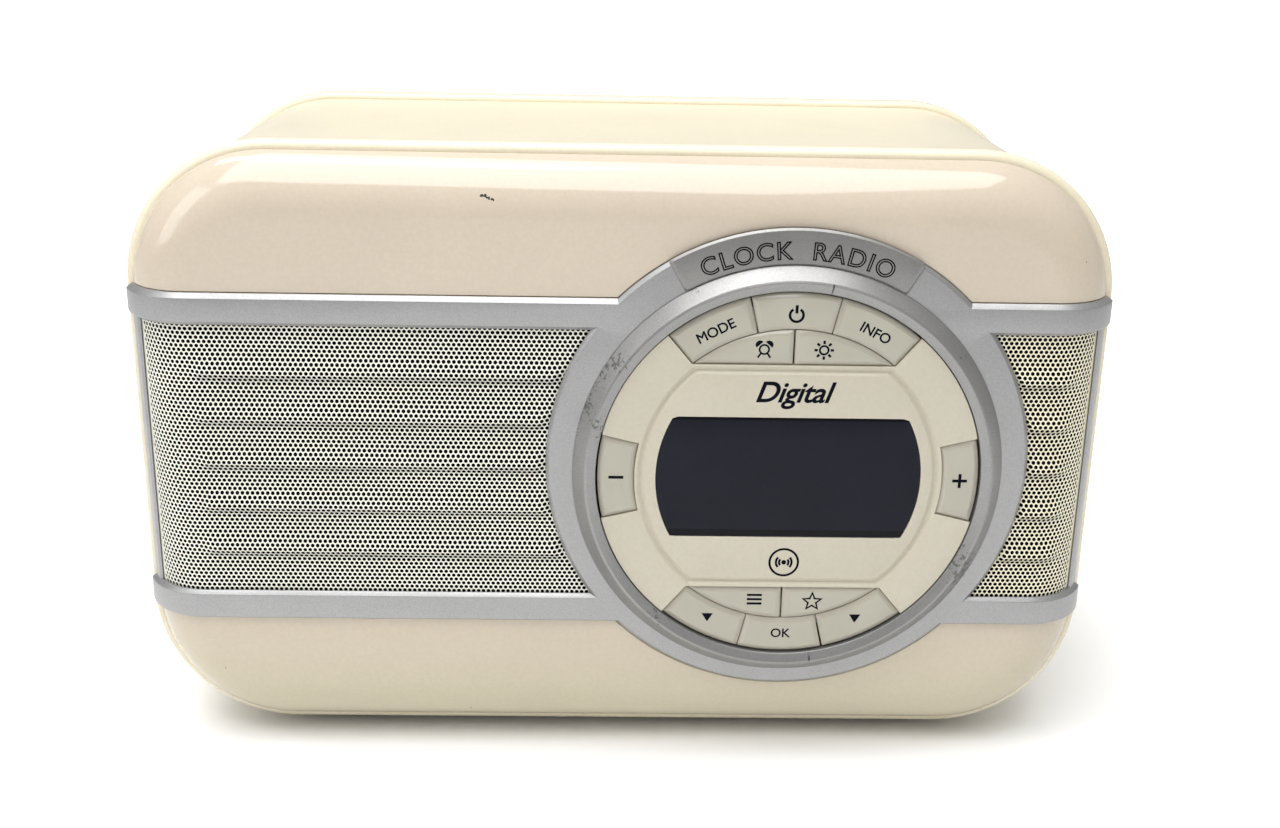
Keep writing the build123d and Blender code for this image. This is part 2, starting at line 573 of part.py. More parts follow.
def connector_plate():
    centre = Pos(PLATE_C[0], PLATE_C[1])
    plate = slab(centre * RectangleRounded(PLATE_W - 0.3, PLATE_HT - 0.3, 2.9), BACK_Y - 1.5, BACK_Y)
    plate = plate - rod_y(5.6, BACK_Y - 3, BACK_Y + 1, SOCKET_X["dc"], PLATE_C[1])
    plate = plate - rod_y(4.1, BACK_Y - 3, BACK_Y + 1, SOCKET_X["line_in"], PLATE_C[1])
    plate = plate - rod_y(4.1, BACK_Y - 3, BACK_Y + 1, SOCKET_X["headphones"], PLATE_C[1])
    plate = plate - slab(Pos(SOCKET_X["usb"], PLATE_C[1]) * Rectangle(14.0, 6.6), BACK_Y - 3, BACK_Y + 1)
    for x in SOCKET_POST_X:
        post = rod_y(2.6, SOCKET_BOARD_Y, BACK_Y - 1, x, PLATE_C[1])
        plate = plate + (post - rod_y(1.05, SOCKET_BOARD_Y - 1, BACK_Y - 4, x, PLATE_C[1]))
    return plate


def socket_board():
    board = block(-44, 64, SOCKET_BOARD_Y - 1.6, SOCKET_BOARD_Y, PLATE_C[1] - 10, PLATE_C[1] + 10)
    for x in SOCKET_POST_X:
        board = board - rod_y(1.2, SOCKET_BOARD_Y - 2, SOCKET_BOARD_Y + 1, x, PLATE_C[1])
    return board


def socket_board_screws():
    solids = []
    for x in SOCKET_POST_X:
        head = rod_y(2.2, SOCKET_BOARD_Y - 3.2, SOCKET_BOARD_Y - 1.6, x, PLATE_C[1])
        solids.append(head + rod_y(1.0, SOCKET_BOARD_Y - 1.6, SOCKET_BOARD_Y + 6, x, PLATE_C[1]))
    return Compound(children=solids)


def dc_socket():
    x, z = SOCKET_X["dc"], PLATE_C[1]
    body = rod_y(5.5, SOCKET_BOARD_Y, BACK_Y - 0.2, x, z)
    body = body - rod_y(2.9, BACK_Y - 10.5, BACK_Y + 1, x, z)
    return body + rod_y(1.05, BACK_Y - 11, BACK_Y - 1.2, x, z)


def jack_socket(name):
    x, z = SOCKET_X[name], PLATE_C[1]
    body = block(x - 6, x + 6, SOCKET_BOARD_Y, BACK_Y - 2.6, z - 6, z + 6)
    body = body + rod_y(4.0, BACK_Y - 2.6, BACK_Y + 0.6, x, z)
    return body - rod_y(1.8, BACK_Y - 12.5, BACK_Y + 2, x, z)


def usb_socket():
    x, z = SOCKET_X["usb"], PLATE_C[1]
    shell = block(x - 6.8, x + 6.8, SOCKET_BOARD_Y, BACK_Y - 0.2, z - 3.1, z + 3.1)
    shell = shell - block(x - 6.3, x + 6.3, BACK_Y - 12.6, BACK_Y + 1, z - 2.6, z + 2.6)
    return shell + block(x - 5.6, x + 5.6, BACK_Y - 13, BACK_Y - 1.4, z + 0.4, z + 2.2)


def port_tube():
    """Bass port: a flared lip outside and a tube into the case, in four quarters."""
    tube = rod_y(PORT_R + 2, BACK_Y - 46, BACK_Y, PORT_X, PORT_Z)
    tube = tube + rod_y(PORT_R + 5, BACK_Y, BACK_Y + 1.2, PORT_X, PORT_Z)
    tube = tube - rod_y(PORT_R, BACK_Y - 47, BACK_Y + 2, PORT_X, PORT_Z)
    tube = tube - cone_solid(PORT_R, PORT_R + 3, BACK_Y - 1.8, BACK_Y + 1.21, PORT_X, PORT_Z)
    reach = 2 * PORT_R
    quarter = slab(Polygon((0, 0), (reach, -reach), (reach, reach), align=None), BACK_Y - 50, BACK_Y + 5)
    solids = []
    for turn in range(4):
        solids += (tube & (Pos(PORT_X, 0, PORT_Z) * Rot(0, 90 * turn, 0) * quarter)).solids()
    return Compound(children=solids)


# ---------------------------------------------------------------- feet and screws
def feet():
    solids = []
    for x in (-84, 84):
        for y in (-46, 36):
            pad = Pos(x, y, FOOT_H / 2) * Cylinder(9, FOOT_H)
            solids.append(fillet(pad.edges().group_by(Axis.Z)[0], 1.2))
    return Compound(children=solids)


def countersunk(x, z, y_head, direction, length):
    """Screw along Y with its head at y_head and its shank running in the given direction."""
    ends = sorted((y_head, y_head + direction * 2.2))
    head = rod_y(3.0, ends[0], ends[1], x, z)
    shank = sorted((y_head + direction * 2.2, y_head + direction * length))
    screw = head + rod_y(1.2, shank[0], shank[1], x, z)
    recess = Pos(x, y_head, z) * (Box(3.4, 2.0, 0.8) + Box(0.8, 2.0, 3.4))
    return screw - recess


def rear_screws():
    return Compound(children=[countersunk(x, z, BACK_Y - 1.0, -1, 36) for x, z in BOSS_XZ])


def front_screws():
    return Compound(children=[countersunk(x, z, SEAM_Y + 12.2, -1, 20) for x, z in BOSS_XZ])


# ---------------------------------------------------------------- aerial
def antenna_mount():
    """Bush through the back wall that the aerial turns in."""
    bush = rod_y(4.9, BACK_Y - 6, BACK_Y, ANT_X, ANT_Z) + rod_y(8, BACK_Y, BACK_Y + 1.5, ANT_X, ANT_Z)
    return bush - rod_y(3.05, BACK_Y - 7, BACK_Y + 2, ANT_X, ANT_Z)


def antenna_swivel():
    """Turning fork: spindle in the bush, disc, and two ears for the elbow pin."""
    fork = rod_y(3.0, BACK_Y - 8, BACK_Y + 1.6, ANT_X, ANT_Z)
    fork = fork + rod_y(6.0, BACK_Y + 1.6, BACK_Y + 3.0, ANT_X, ANT_Z)
    fork = fork + rod_y(4.2, BACK_Y - 8, BACK_Y - 6.2, ANT_X, ANT_Z)
    for side in (-1, 1):
        z = ANT_Z + side * 3.0
        ear = block(ANT_X - 3.4, ANT_X + 3.4, BACK_Y + 3.0, ANT_Y, z - 0.8, z + 0.8)
        ear = ear + Pos(ANT_X, ANT_Y, z) * Cylinder(3.4, 1.6)
        fork = fork + (ear - Pos(ANT_X, ANT_Y, z) * Cylinder(1.0, 4))
    return fork


def antenna_pin():
    return Pos(ANT_X, ANT_Y, ANT_Z) * Cylinder(1.0, 7.8)


def antenna_tube(index):
    """One section of the aerial, nested in the section before it and lying towards -X."""
    radius = ANT_TUBE_D[index] / 2
    start = ANT_X - 9.0 - ANT_STEP * index
    end = start - ANT_LEN
    middle = (start + end) / 2
    along = Pos(middle, ANT_Y, ANT_Z) * Rot(0, 90, 0)
    tube = along * Cylinder(radius, ANT_LEN)
    if index < len(ANT_TUBE_D) - 1:
        tube = tube - along * Cylinder(ANT_TUBE_D[index + 1] / 2 + 0.05, ANT_LEN + 1)
    else:
        tip = Pos(end - 2.5, ANT_Y, ANT_Z) * Rot(0, 90, 0) * Cylinder(2.8, 5.0)
        tube = tube + fillet(tip.edges(), 0.8)
    if index == 0:
        plug = Pos(start - 1.0, ANT_Y, ANT_Z) * Rot(0, 90, 0) * Cylinder(radius, 2.0)
        tongue = block(start, ANT_X, ANT_Y - 2.7, ANT_Y + 2.7, ANT_Z - 2.0, ANT_Z + 2.0)
        tongue = tongue + Pos(ANT_X, ANT_Y, ANT_Z) * Cylinder(2.7, 4.0)
        tube = tube + plug + (tongue - Pos(ANT_X, ANT_Y, ANT_Z) * Cylinder(1.05, 8))
    return tube


# ---------------------------------------------------------------- build and export
parts["front_shell"] = front_shell()
parts["cabinet"] = cabinet()
parts["rear_shell"] = rear_shell()
parts["trim_frame"] = trim_frame()
parts["label_plate"] = label_plate()
for name, side in (("left", -1), ("right", 1)):
    parts["grille_" + name] = grille(side)
    parts["grille_cloth_" + name] = grille_cloth(side)
parts["dial_ring"] = dial_ring()
parts["dial_housing"] = dial_housing()
parts["dial_panel"] = dial_panel()
parts["display_window"] = display_window()
parts["display_module"] = display_module()
parts["key_board"] = key_board()
parts["key_switches"] = key_switches()
parts["key_board_screws"] = key_board_screws()
for name, sketch in BUTTONS.items():
    parts[name] = button_cap(sketch)
parts["speaker_basket"] = speaker_basket()
parts["speaker_cone"] = speaker_cone()
parts["speaker_magnet"] = speaker_magnet()
parts["speaker_gasket"] = speaker_gasket()
parts["speaker_screws"] = speaker_screws()
parts["small_speaker_body"] = small_speaker_body()
parts["small_speaker_cone"] = small_speaker_cone()
parts["main_board"] = main_board()
parts["main_board_screws"] = main_board_screws()
parts["tuner_module"] = tuner_module()
parts["heat_sink"] = heat_sink()
parts["capacitors"] = capacitors()
parts["connector_plate"] = connector_plate()
parts["socket_board"] = socket_board()
parts["socket_board_screws"] = socket_board_screws()
parts["dc_socket"] = dc_socket()
parts["line_in_socket"] = jack_socket("line_in")
parts["headphone_socket"] = jack_socket("headphones")
parts["usb_socket"] = usb_socket()
parts["port_tube"] = port_tube()
parts["feet"] = feet()
parts["rear_screws"] = rear_screws()
parts["front_screws"] = front_screws()
parts["antenna_mount"] = antenna_mount()
parts["antenna_swivel"] = antenna_swivel()
parts["antenna_pin"] = antenna_pin()
for index in range(len(ANT_TUBE_D)):
    parts["antenna_tube_%d" % (index + 1)] = antenna_tube(index)

os.makedirs("parts", exist_ok=True)
for name, shape in parts.items():
    export_step(shape, "parts/" + name + ".step")
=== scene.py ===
import json
import math

import bmesh
import bpy
from mathutils import Matrix, Vector


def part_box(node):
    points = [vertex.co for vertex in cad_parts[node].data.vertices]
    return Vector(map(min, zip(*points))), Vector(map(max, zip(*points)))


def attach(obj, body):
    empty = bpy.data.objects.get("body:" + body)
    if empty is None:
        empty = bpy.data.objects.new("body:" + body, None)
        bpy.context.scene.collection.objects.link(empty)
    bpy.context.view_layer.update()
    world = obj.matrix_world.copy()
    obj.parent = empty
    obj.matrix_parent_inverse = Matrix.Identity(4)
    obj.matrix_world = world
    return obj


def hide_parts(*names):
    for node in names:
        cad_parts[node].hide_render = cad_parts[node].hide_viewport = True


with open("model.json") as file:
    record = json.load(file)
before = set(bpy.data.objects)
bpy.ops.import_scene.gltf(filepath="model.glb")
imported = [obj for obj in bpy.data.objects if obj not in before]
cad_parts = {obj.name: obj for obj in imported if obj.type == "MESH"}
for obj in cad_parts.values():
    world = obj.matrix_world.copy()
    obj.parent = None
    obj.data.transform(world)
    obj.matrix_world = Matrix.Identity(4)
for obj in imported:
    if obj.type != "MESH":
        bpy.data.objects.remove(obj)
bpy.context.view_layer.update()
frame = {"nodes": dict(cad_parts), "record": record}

MM = 0.001
WELD = 1e-6                   # metres


# ------------------------------------ dimensions, in millimetres
def mm_box(node):
    low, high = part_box(node)
    return low / MM, high / MM


def middle(node):
    """Centre (x, z) of a node's box."""
    low, high = mm_box(node)
    return (low.x + high.x) / 2, (low.z + high.z) / 2


ring_low, ring_high = mm_box("dial_ring")
trim_low, trim_high = mm_box("trim_frame")
case_low, case_high = mm_box("cabinet")

RIM_OUT = 1.2                 # the rims stand proud of the nominal outline
WAIST_IN = 0.8
WALL = 2.5
BODY_W = case_high.x - case_low.x - 2 * RIM_OUT
BODY_H = case_high.z - case_low.z - 2 * RIM_OUT
BODY_Z = (case_high.z + case_low.z) / 2
BODY_R = 40.2
NOSE_R = 18.0
TRIM_T = 1.5
FACE_Y = trim_low.y
SEAM_Y = trim_high.y
WAIST_END_Y = case_high.y
BACK_Y = mm_box("rear_shell")[1].y
BACK_R = 14.0
RIM_FRONT_D = 5.1
RIM_REAR_D = 8.5
NOSE_Y = FACE_Y + TRIM_T + NOSE_R       # centre line of the front bullnose
NOSE_X = BODY_W / 2 - NOSE_R
FLAT_Y = NOSE_Y - NOSE_R

DIAL_X, DIAL_Z = middle("dial_ring")
RING_BASE_R = (ring_high.z - ring_low.z) / 2
RING_EDGE_R = 56.85
RING_INNER_R = 54.4
RING_H = FACE_Y - ring_low.y
PLATE_R = 68.5
PLATE_HOLE_R = 58.2
PLATE_Z = BODY_Z + 0.2
BAND_TOP = (BODY_Z + 40.65, BODY_Z + 47.1)
BAND_LOW = (BODY_Z - 48.0, BODY_Z - 41.1)
TOP_BEVEL = 1.4
INNER_BEVEL = 1.1
LOW_LIP = 0.4
TRIM_BACK = 0.02              # the trim starts this far off the shell
WRAP_END_Y = SEAM_Y - 0.15    # the bands end just before the seam
FLARE = 0.55                  # and stand a little further out there
JOINT_GAP = 0.34              # dark joint line between the trim and the shell
JOINT_DEPTH = 0.9
SHELL_HOLE_R = 57.9
SPEAKER_X = -78.0
SPEAKER_R = 34.0
REBATE_END = 32               # degrees round the corner where the rebate for the sheets ends
PANEL_Y = FACE_Y - 3.0
PANEL_R = 54.1
PANEL_T = 2.8
OVER = 3.0                    # cutters run this far past a surface
FAR = 200.0                   # and this far where they leave the body

CONNECTORS_X, CONNECTORS_Z = middle("connector_plate")
PORT_X, PORT_Z = middle("port_tube")
PORT_HOLE_R = 17.2
AERIAL_X, AERIAL_Z = middle("antenna_swivel")
AERIAL_HOLE_R = 5.0
RECESS = (118.0, 26.0, 3.0)   # width, height and corner of the shallow step round the connectors
RECESS_D = 1.5
OPENING = (113.0, 21.0, 2.0)  # and of the opening inside it
VENT = (46.0, 2.0, 0.99)
VENT_X = 10.0
VENT_Z = [84.0 + 5.0 * row for row in range(9)]
REAR_CUT = 8.0                # depth of the openings through the back
SCREW_XZ = [(sx * 112.0, BODY_Z + sz * 61.5) for sx in (-1, 1) for sz in (-1, 1)]
SCREW_HOLE_R = 3.3
SCREW_HOLE_D = 3.2


# ------------------------------------ mesh helpers
def linked(name, data):
    """New object in the scene."""
    thing = bpy.data.objects.new(name, data)
    bpy.context.scene.collection.objects.link(thing)
    return thing


def new_object(name, vertices, faces, smooth_deg=32.0):
    """Mesh object from points in millimetres, welded, facing outwards and smoothed by angle."""
    mesh = bpy.data.meshes.new(name)
    mesh.from_pydata([Vector(v) * MM for v in vertices], [], faces)
    tidy_mesh(mesh, smooth_deg)
    return linked(name, mesh)


def tidy_mesh(mesh, smooth_deg):
    work = bmesh.new()
    work.from_mesh(mesh)
    bmesh.ops.remove_doubles(work, verts=work.verts, dist=WELD)
    bmesh.ops.dissolve_degenerate(work, edges=work.edges, dist=WELD)
    bmesh.ops.recalc_face_normals(work, faces=work.faces)
    work.to_mesh(mesh)
    work.free()
    mesh.shade_smooth()
    mesh.set_sharp_from_angle(angle=math.radians(smooth_deg))


def evaluated_mesh(thing):
    depsgraph = bpy.context.evaluated_depsgraph_get()
    return bpy.data.meshes.new_from_object(thing.evaluated_get(depsgraph))


def settle(thing):
    """Apply a piece's modifiers."""
    mesh = evaluated_mesh(thing)
    thing.modifiers.clear()
    thing.data = mesh


def boolean(thing, solid, operation="DIFFERENCE", smooth_deg=32.0):
    """Cut or join with a solid given as (vertices, faces)."""
    other = new_object("cutter", *solid)
    step = thing.modifiers.new("boolean", "BOOLEAN")
    step.operation = operation
    step.solver = "EXACT"
    step.object = other
    settle(thing)
    bpy.data.objects.remove(other)
    tidy_mesh(thing.data, smooth_deg)


def bevel(thing, width, segments, angle):
    step = thing.modifiers.new("bevel", "BEVEL")
    step.width = width * MM
    step.segments = segments
    step.limit_method = "ANGLE"
    step.angle_limit = math.radians(angle)
    settle(thing)
    tidy_mesh(thing.data, 30.0)


def loft(rings, looped=False):
    """Vertices and faces of a skin through rings of equally many points, capped unless looped."""
    count = len(rings[0])
    vertices = [p for ring in rings for p in ring]
    faces = []
    for i in range(len(rings) if looped else len(rings) - 1):
        a, b = i * count, ((i + 1) % len(rings)) * count
        for j in range(count):
            k = (j + 1) % count
            faces.append((a + j, a + k, b + k, b + j))
    if not looped:
        faces.append(tuple(range(count)))
        faces.append(tuple(range((len(rings) - 1) * count, len(rings) * count)))
    return vertices, faces


def spread(first, last, count):
    """Evenly spaced values, with both ends."""
    return [first + (last - first) * i / count for i in range(count + 1)]


def rounded(corners, segments=3):
    """Closed polyline through corners (u, v, radius), each rounded by its radius."""
    points = []
    for i, (u, v, radius) in enumerate(corners):
        here = Vector((u, v))
        if radius <= 0:
            points.append((u, v))
            continue
        before = (Vector(corners[i - 1][:2]) - here).normalized()
        after = (Vector(corners[(i + 1) % len(corners)][:2]) - here).normalized()
        half = before.angle(after) / 2
        centre = here + (before + after).normalized() * (radius / math.sin(half))
        first = here + before * (radius / math.tan(half)) - centre
        last = here + after * (radius / math.tan(half)) - centre
        sweep = first.angle_signed(last)
        for step in range(segments + 1):
            turned = Matrix.Rotation(-sweep * step / segments, 2) @ first
            points.append(tuple(centre + turned))
    return points


def lathe(profile, z, segments=256):
    """Revolve a closed (radius, distance behind the face) profile about the dial's axis at z."""
    axis = Vector((0, 1, 0))
    side = axis.orthogonal().normalized()
    other = axis.cross(side)
    centre = Vector((DIAL_X, FACE_Y, z))
    rings = []
    for step in range(segments):
        angle = math.radians(360.0 * step / segments)
        out = side * math.cos(angle) + other * math.sin(angle)
        rings.append([tuple(centre + out * r + axis * h) for r, h in profile])
    return loft(rings, looped=True)


def prism(points, *depths):
    """Solid between two depths from a closed outline of (x, z) points."""
    return loft([[(x, y, z) for x, z in points] for y in depths])


def merged(*parts):
    """Join several (vertices, faces) sets into one."""
    vertices, faces = [], []
    for more_vertices, more_faces in parts:
        base = len(vertices)
        vertices += list(more_vertices)
        faces += [tuple(i + base for i in face) for face in more_faces]
    return vertices, faces


def piece(thing, body, slot, material, *nodes):
    """Say what a finished piece rides on, replaces and is made of."""
    if material is not None:
        thing.data.materials.clear()
        thing.data.materials.append(material)
    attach(thing, body)
    if nodes:
        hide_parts(*nodes)


def circle_points(radius, count, x, z):
    steps = [2 * math.pi * i / count for i in range(count)]
    return [(x + radius * math.cos(a), z + radius * math.sin(a)) for a in steps]


def rounded_rectangle(width, height, radius, x, z, segments=8):
    w, h = width / 2, height / 2
    corners = [(-w, -h, radius), (w, -h, radius), (w, h, radius), (-w, h, radius)]
    return [(x + u, z + v) for u, v in rounded(corners, segments)]


# ------------------------------------ materials
WHITE = (1.0, 1.0, 1.0)


def feed(tree, node, inputs):
    """Give inputs, by name or number, the outputs that they follow or their fixed values."""
    for key, value in inputs.items():
        socket = node.inputs[key]
        if hasattr(value, "is_output"):
            tree.links.new(value, socket)
        else:
            socket.default_value = (*value, 1.0) if socket.type == "RGBA" else value


def add_node(tree, kind, inputs, output=0, **settings):
    """Set up a new shader node and return one of its outputs."""
    node = tree.nodes.new("ShaderNode" + kind)
    for name, value in settings.items():
        setattr(node, name, value)
    feed(tree, node, inputs)
    return node.outputs[output]


def node_material(name):
    """New material with its nodes, its shader and the object coordinates, in metres."""
    material = bpy.data.materials.new(name)
    material.use_nodes = True
    tree = material.node_tree
    return material, tree, tree.nodes["Principled BSDF"], add_node(tree, "TexCoord", {}, "Object")


def noise(tree, place, scale, detail, roughness=0.55):
    settings = {"Vector": place, "Scale": scale, "Detail": detail, "Roughness": roughness}
    return add_node(tree, "TexNoise", settings, "Fac")


def ramp(tree, value, *stops):
    """Ramp through (position, colour or grey) stops."""
    node = tree.nodes.new("ShaderNodeValToRGB")
    elements = node.color_ramp.elements
    while len(elements) < len(stops):
        elements.new(0.5)
    for element, (position, colour) in zip(elements, stops):
        element.position = position
        element.color = (*colour, 1.0) if isinstance(colour, tuple) else (colour, colour, colour, 1.0)
    tree.links.new(value, node.inputs["Fac"])
    return node.outputs["Color"]


def mix(tree, factor, first, second, blend="MIX"):
    settings = {0: factor, 6: first, 7: second}
    return add_node(tree, "Mix", settings, 2, data_type="RGBA", blend_type=blend)


def math_node(tree, operation, first, second):
    return add_node(tree, "Math", {0: first, 1: second}, operation=operation)


def length_of(tree, vector):
    return add_node(tree, "VectorMath", {0: vector}, "Value", operation="LENGTH")


def height_of(tree, vector):
    return add_node(tree, "SeparateXYZ", {"Vector": vector}, "Z")


def bump(tree, height, distance, strength):
    """Surface normal from a height; distance is in millimetres."""
    return add_node(tree, "Bump", {"Strength": strength, "Distance": distance * MM, "Height": height})


def tinted(colour, factor):
    return tuple(min(1.0, c * factor) for c in colour)


def clouded(tree, place, scale, detail, colour, low, high):
    """Colour that drifts between two tints of itself."""
    drift = noise(tree, place, scale, detail)
    return ramp(tree, drift, (0.3, tinted(colour, low)), (0.7, tinted(colour, high)))


def cells(tree, place, size):
    """Random cells of a size in millimetres: distance from the middle, and random channels."""
    near = add_node(tree, "TexVoronoi", {"Vector": place, "Scale": 1 / (size * MM)}, "Distance")
    split = add_node(tree, "SeparateColor", {"Color": near.node.outputs["Color"]})
    return near, split.node.outputs


def specks(tree, place, spacing, size, share, seed=0.0):
    """Mask of small scattered dots: 1 on a dot. Spacing and size are in millimetres."""
    moved = {"Vector": place, "Location": (seed, seed * 0.37, seed * 0.71)}
    near, chance = cells(tree, add_node(tree, "Mapping", moved), spacing)
    dot = math_node(tree, "LESS_THAN", near, size / spacing)
    return math_node(tree, "MULTIPLY", dot, math_node(tree, "LESS_THAN", chance["Red"], share))


def spotted(tree, base, mask, strength, colour):
    """Base colour with another one laid over it where a mask is 1."""
    return mix(tree, math_node(tree, "MULTIPLY", mask, strength), base, colour)


def falling(tree, place, high, low):
    """0 above one height and 1 below another, both in millimetres."""
    settings = {"Value": height_of(tree, place), "From Min": high * MM, "From Max": low * MM}
    return add_node(tree, "MapRange", settings, "Result")


def nick_mask(tree, place, mark):
    """A small ragged nick at a point given in millimetres."""
    offset = add_node(tree, "VectorMath", {0: place, 1: Vector(mark) * MM}, operation="SUBTRACT")
    squash = {"Vector": offset, "Rotation": (0.0, math.radians(20.0), 0.0),
              "Scale": (3.0 * MM, 6.0 * MM, 0.6 * MM)}
    away = length_of(tree, add_node(tree, "Mapping", squash, vector_type="TEXTURE"))
    ragged = math_node(tree, "MULTIPLY", noise(tree, place, 1100.0, 3.0), 2.6)
    return math_node(tree, "LESS_THAN", math_node(tree, "ADD", away, ragged), 1.95)


def glossy_moulding(name, colour, rough, dirt, patchy, ior=1.5, mark=None, tint_below=None):
    """Glossy moulded plastic with faint mottling, orange peel, specks and dulled patches."""
    material, tree, shader, place = node_material(name)
    base = clouded(tree, place, 14.0, 4.0, colour, 0.965, 1.02)
    fine = ramp(tree, noise(tree, place, 900.0, 2.0), (0.35, 0.35), (0.65, 1.0))
    base = mix(tree, 0.06, base, fine, "MULTIPLY")
    base = spotted(tree, base, specks(tree, place, 9.0, 0.28, 0.18 * dirt), 0.75, (0.09, 0.07, 0.05))
    small = specks(tree, place, 3.1, 0.11, 0.16 * dirt, 0.013)
    base = spotted(tree, base, small, 0.55, (0.16, 0.12, 0.08))
    if mark is not None:
        base = mix(tree, nick_mask(tree, place, mark), base, (0.03, 0.03, 0.03))
    if tint_below is not None:
        # yellower and a little darker below a height
        base = mix(tree, falling(tree, place, *tint_below), base, (0.93, 0.975, 0.9), "MULTIPLY")
    stretched = add_node(tree, "Mapping", {"Vector": place, "Scale": (1.0, 1.0, 2.5)})
    smear = noise(tree, stretched, 35.0, 5.0, 0.6)
    clean, dull = rough * (1 - 0.2 * patchy), rough * (1 + 0.35 * patchy)
    feed(tree, shader, {
        "Base Color": base, "Roughness": ramp(tree, smear, (0.35, clean), (0.75, dull)),
        "Normal": bump(tree, noise(tree, place, 260.0, 3.0), 0.012, 0.35 * patchy),
        "IOR": ior, "Subsurface Weight": 0.06, "Subsurface Radius": (0.004, 0.003, 0.002)})
    return material


def silver_paint(name, colour, rough=0.36, worn=0.0, metallic=0.72):
    """Satin silver paint with fine flake, and dark chips where it is worn."""
    material, tree, shader, place = node_material(name)
    flake = cells(tree, place, 0.16)[1]
    base = ramp(tree, flake["Green"], (0.0, tinted(colour, 0.86)), (1.0, tinted(colour, 1.13)))
    cloudy = ramp(tree, noise(tree, place, 30.0, 3.0), (0.3, 0.95), (0.7, 1.0))
    base = mix(tree, 1.0, base, cloudy, "MULTIPLY")
    base = spotted(tree, base, specks(tree, place, 7.0, 0.22, 0.14), 0.7, (0.04, 0.04, 0.04))
    if worn > 0:
        patches = math_node(tree, "MULTIPLY", noise(tree, place, 38.0, 2.0), 0.62)
        ragged = math_node(tree, "MULTIPLY", noise(tree, place, 820.0, 4.0, 0.7), 0.38)
        chance = math_node(tree, "ADD", patches, ragged)
        chip = math_node(tree, "GREATER_THAN", chance, 0.665 - 0.06 * worn)
        base = spotted(tree, base, chip, 0.8, (0.10, 0.10, 0.095))
    rub = noise(tree, place, 90.0, 4.0)
    feed(tree, shader, {
        "Base Color": base, "Roughness": ramp(tree, rub, (0.3, rough * 0.9), (0.7, rough * 1.15)),
        "Normal": bump(tree, flake["Blue"], 0.006, 0.5), "Metallic": metallic, "IOR": 1.5})
    return material


def plain_plastic(name, colour, rough, grain, grain_mm, metallic=0.0, drift=0.06):
    """Moulded, painted or plated surface with a fine grain and slight variation."""
    material, tree, shader, place = node_material(name)
    worn = noise(tree, place, 120.0, 4.0)
    feed(tree, shader, {
        "Base Color": clouded(tree, place, 40.0, 4.0, colour, 1 - drift, 1 + drift),
        "Roughness": ramp(tree, worn, (0.3, rough * 0.85), (0.7, min(1.0, rough * 1.15))),
        "Normal": bump(tree, noise(tree, place, grain, 2.0), grain_mm, 0.5), "Metallic": metallic})
    return material


def sheet_paint(name, colour):
    """Painted sheet, with painted shade making it darker where it faces down under the pressed ridges."""
    material = plain_plastic(name, colour, 0.3, 1500.0, 0.01, 0.0, 0.03)
    tree = material.node_tree
    base = tree.nodes["Principled BSDF"].inputs["Base Color"]
    # painted shade: faces that point downwards get a darker colour, down to 0.62 of it
    up = height_of(tree, add_node(tree, "NewGeometry", {}, "Normal"))
    upward = math_node(tree, "MULTIPLY", math_node(tree, "ADD", up, 1.0), 0.5)
    painted_shade = ramp(tree, upward, (0.15, 0.62), (0.45, 1.0))
    tree.links.new(mix(tree, 1.0, base.links[0].from_socket, painted_shade, "MULTIPLY"), base)
    return material


def woven_cloth(name, colour):
    """Fine acoustic cloth."""
    material, tree, shader, place = node_material(name)
    threads = {"Vector": place, "Scale": 1 / (0.9 * MM)}
    waves = [add_node(tree, "TexWave", threads, "Fac", bands_direction=way) for way in ("X", "Z")]
    weave = math_node(tree, "MULTIPLY", *waves)
    feed(tree, shader, {
        "Base Color": ramp(tree, weave, (0.0, tinted(colour, 0.4)), (1.0, colour)),
        "Normal": bump(tree, weave, 0.05, 1.0), "Roughness": 0.95, "Specular IOR Level": 0.1})
    return material


def key_plastic(name, colour, rough):
    """Translucent key cap, faintly clouded."""
    material, tree, shader, place = node_material(name)
    smear = noise(tree, place, 80.0, 4.0)
    feed(tree, shader, {
        "Base Color": clouded(tree, place, 45.0, 3.0, colour, 0.95, 1.03),
        "Roughness": ramp(tree, smear, (0.35, rough * 0.8), (0.7, rough * 1.3)),
        "Normal": bump(tree, noise(tree, place, 400.0, 2.0), 0.01, 0.3), "Subsurface Weight": 0.25,
        "Subsurface Radius": (0.003, 0.003, 0.002), "Coat Weight": 0.6, "Coat Roughness": 0.05})
    return material


def dark_window(name):
    """Tinted window: almost black, with the darker masked strips above and below the display."""
    material, tree, shader, place = node_material(name)
    height = height_of(tree, place)
    low = math_node(tree, "LESS_THAN", height, (DIAL_Z - 15.6) * MM)
    high = math_node(tree, "GREATER_THAN", height, (DIAL_Z + 17.3) * MM)
    cloudy = noise(tree, place, 50.0, 4.0)
    base = ramp(tree, cloudy, (0.3, (0.0085, 0.0095, 0.0165)), (0.7, (0.0105, 0.0115, 0.0195)))
    base = mix(tree, math_node(tree, "MAXIMUM", low, high), base, (0.003, 0.003, 0.005))
    base = spotted(tree, base, specks(tree, place, 4.0, 0.08, 0.12), 0.5, (0.12, 0.12, 0.14))
    smear = noise(tree, place, 60.0, 5.0)
    feed(tree, shader, {"Base Color": base, "IOR": 1.24,
                        "Roughness": ramp(tree, smear, (0.4, 0.09), (0.75, 0.17))})
    return material


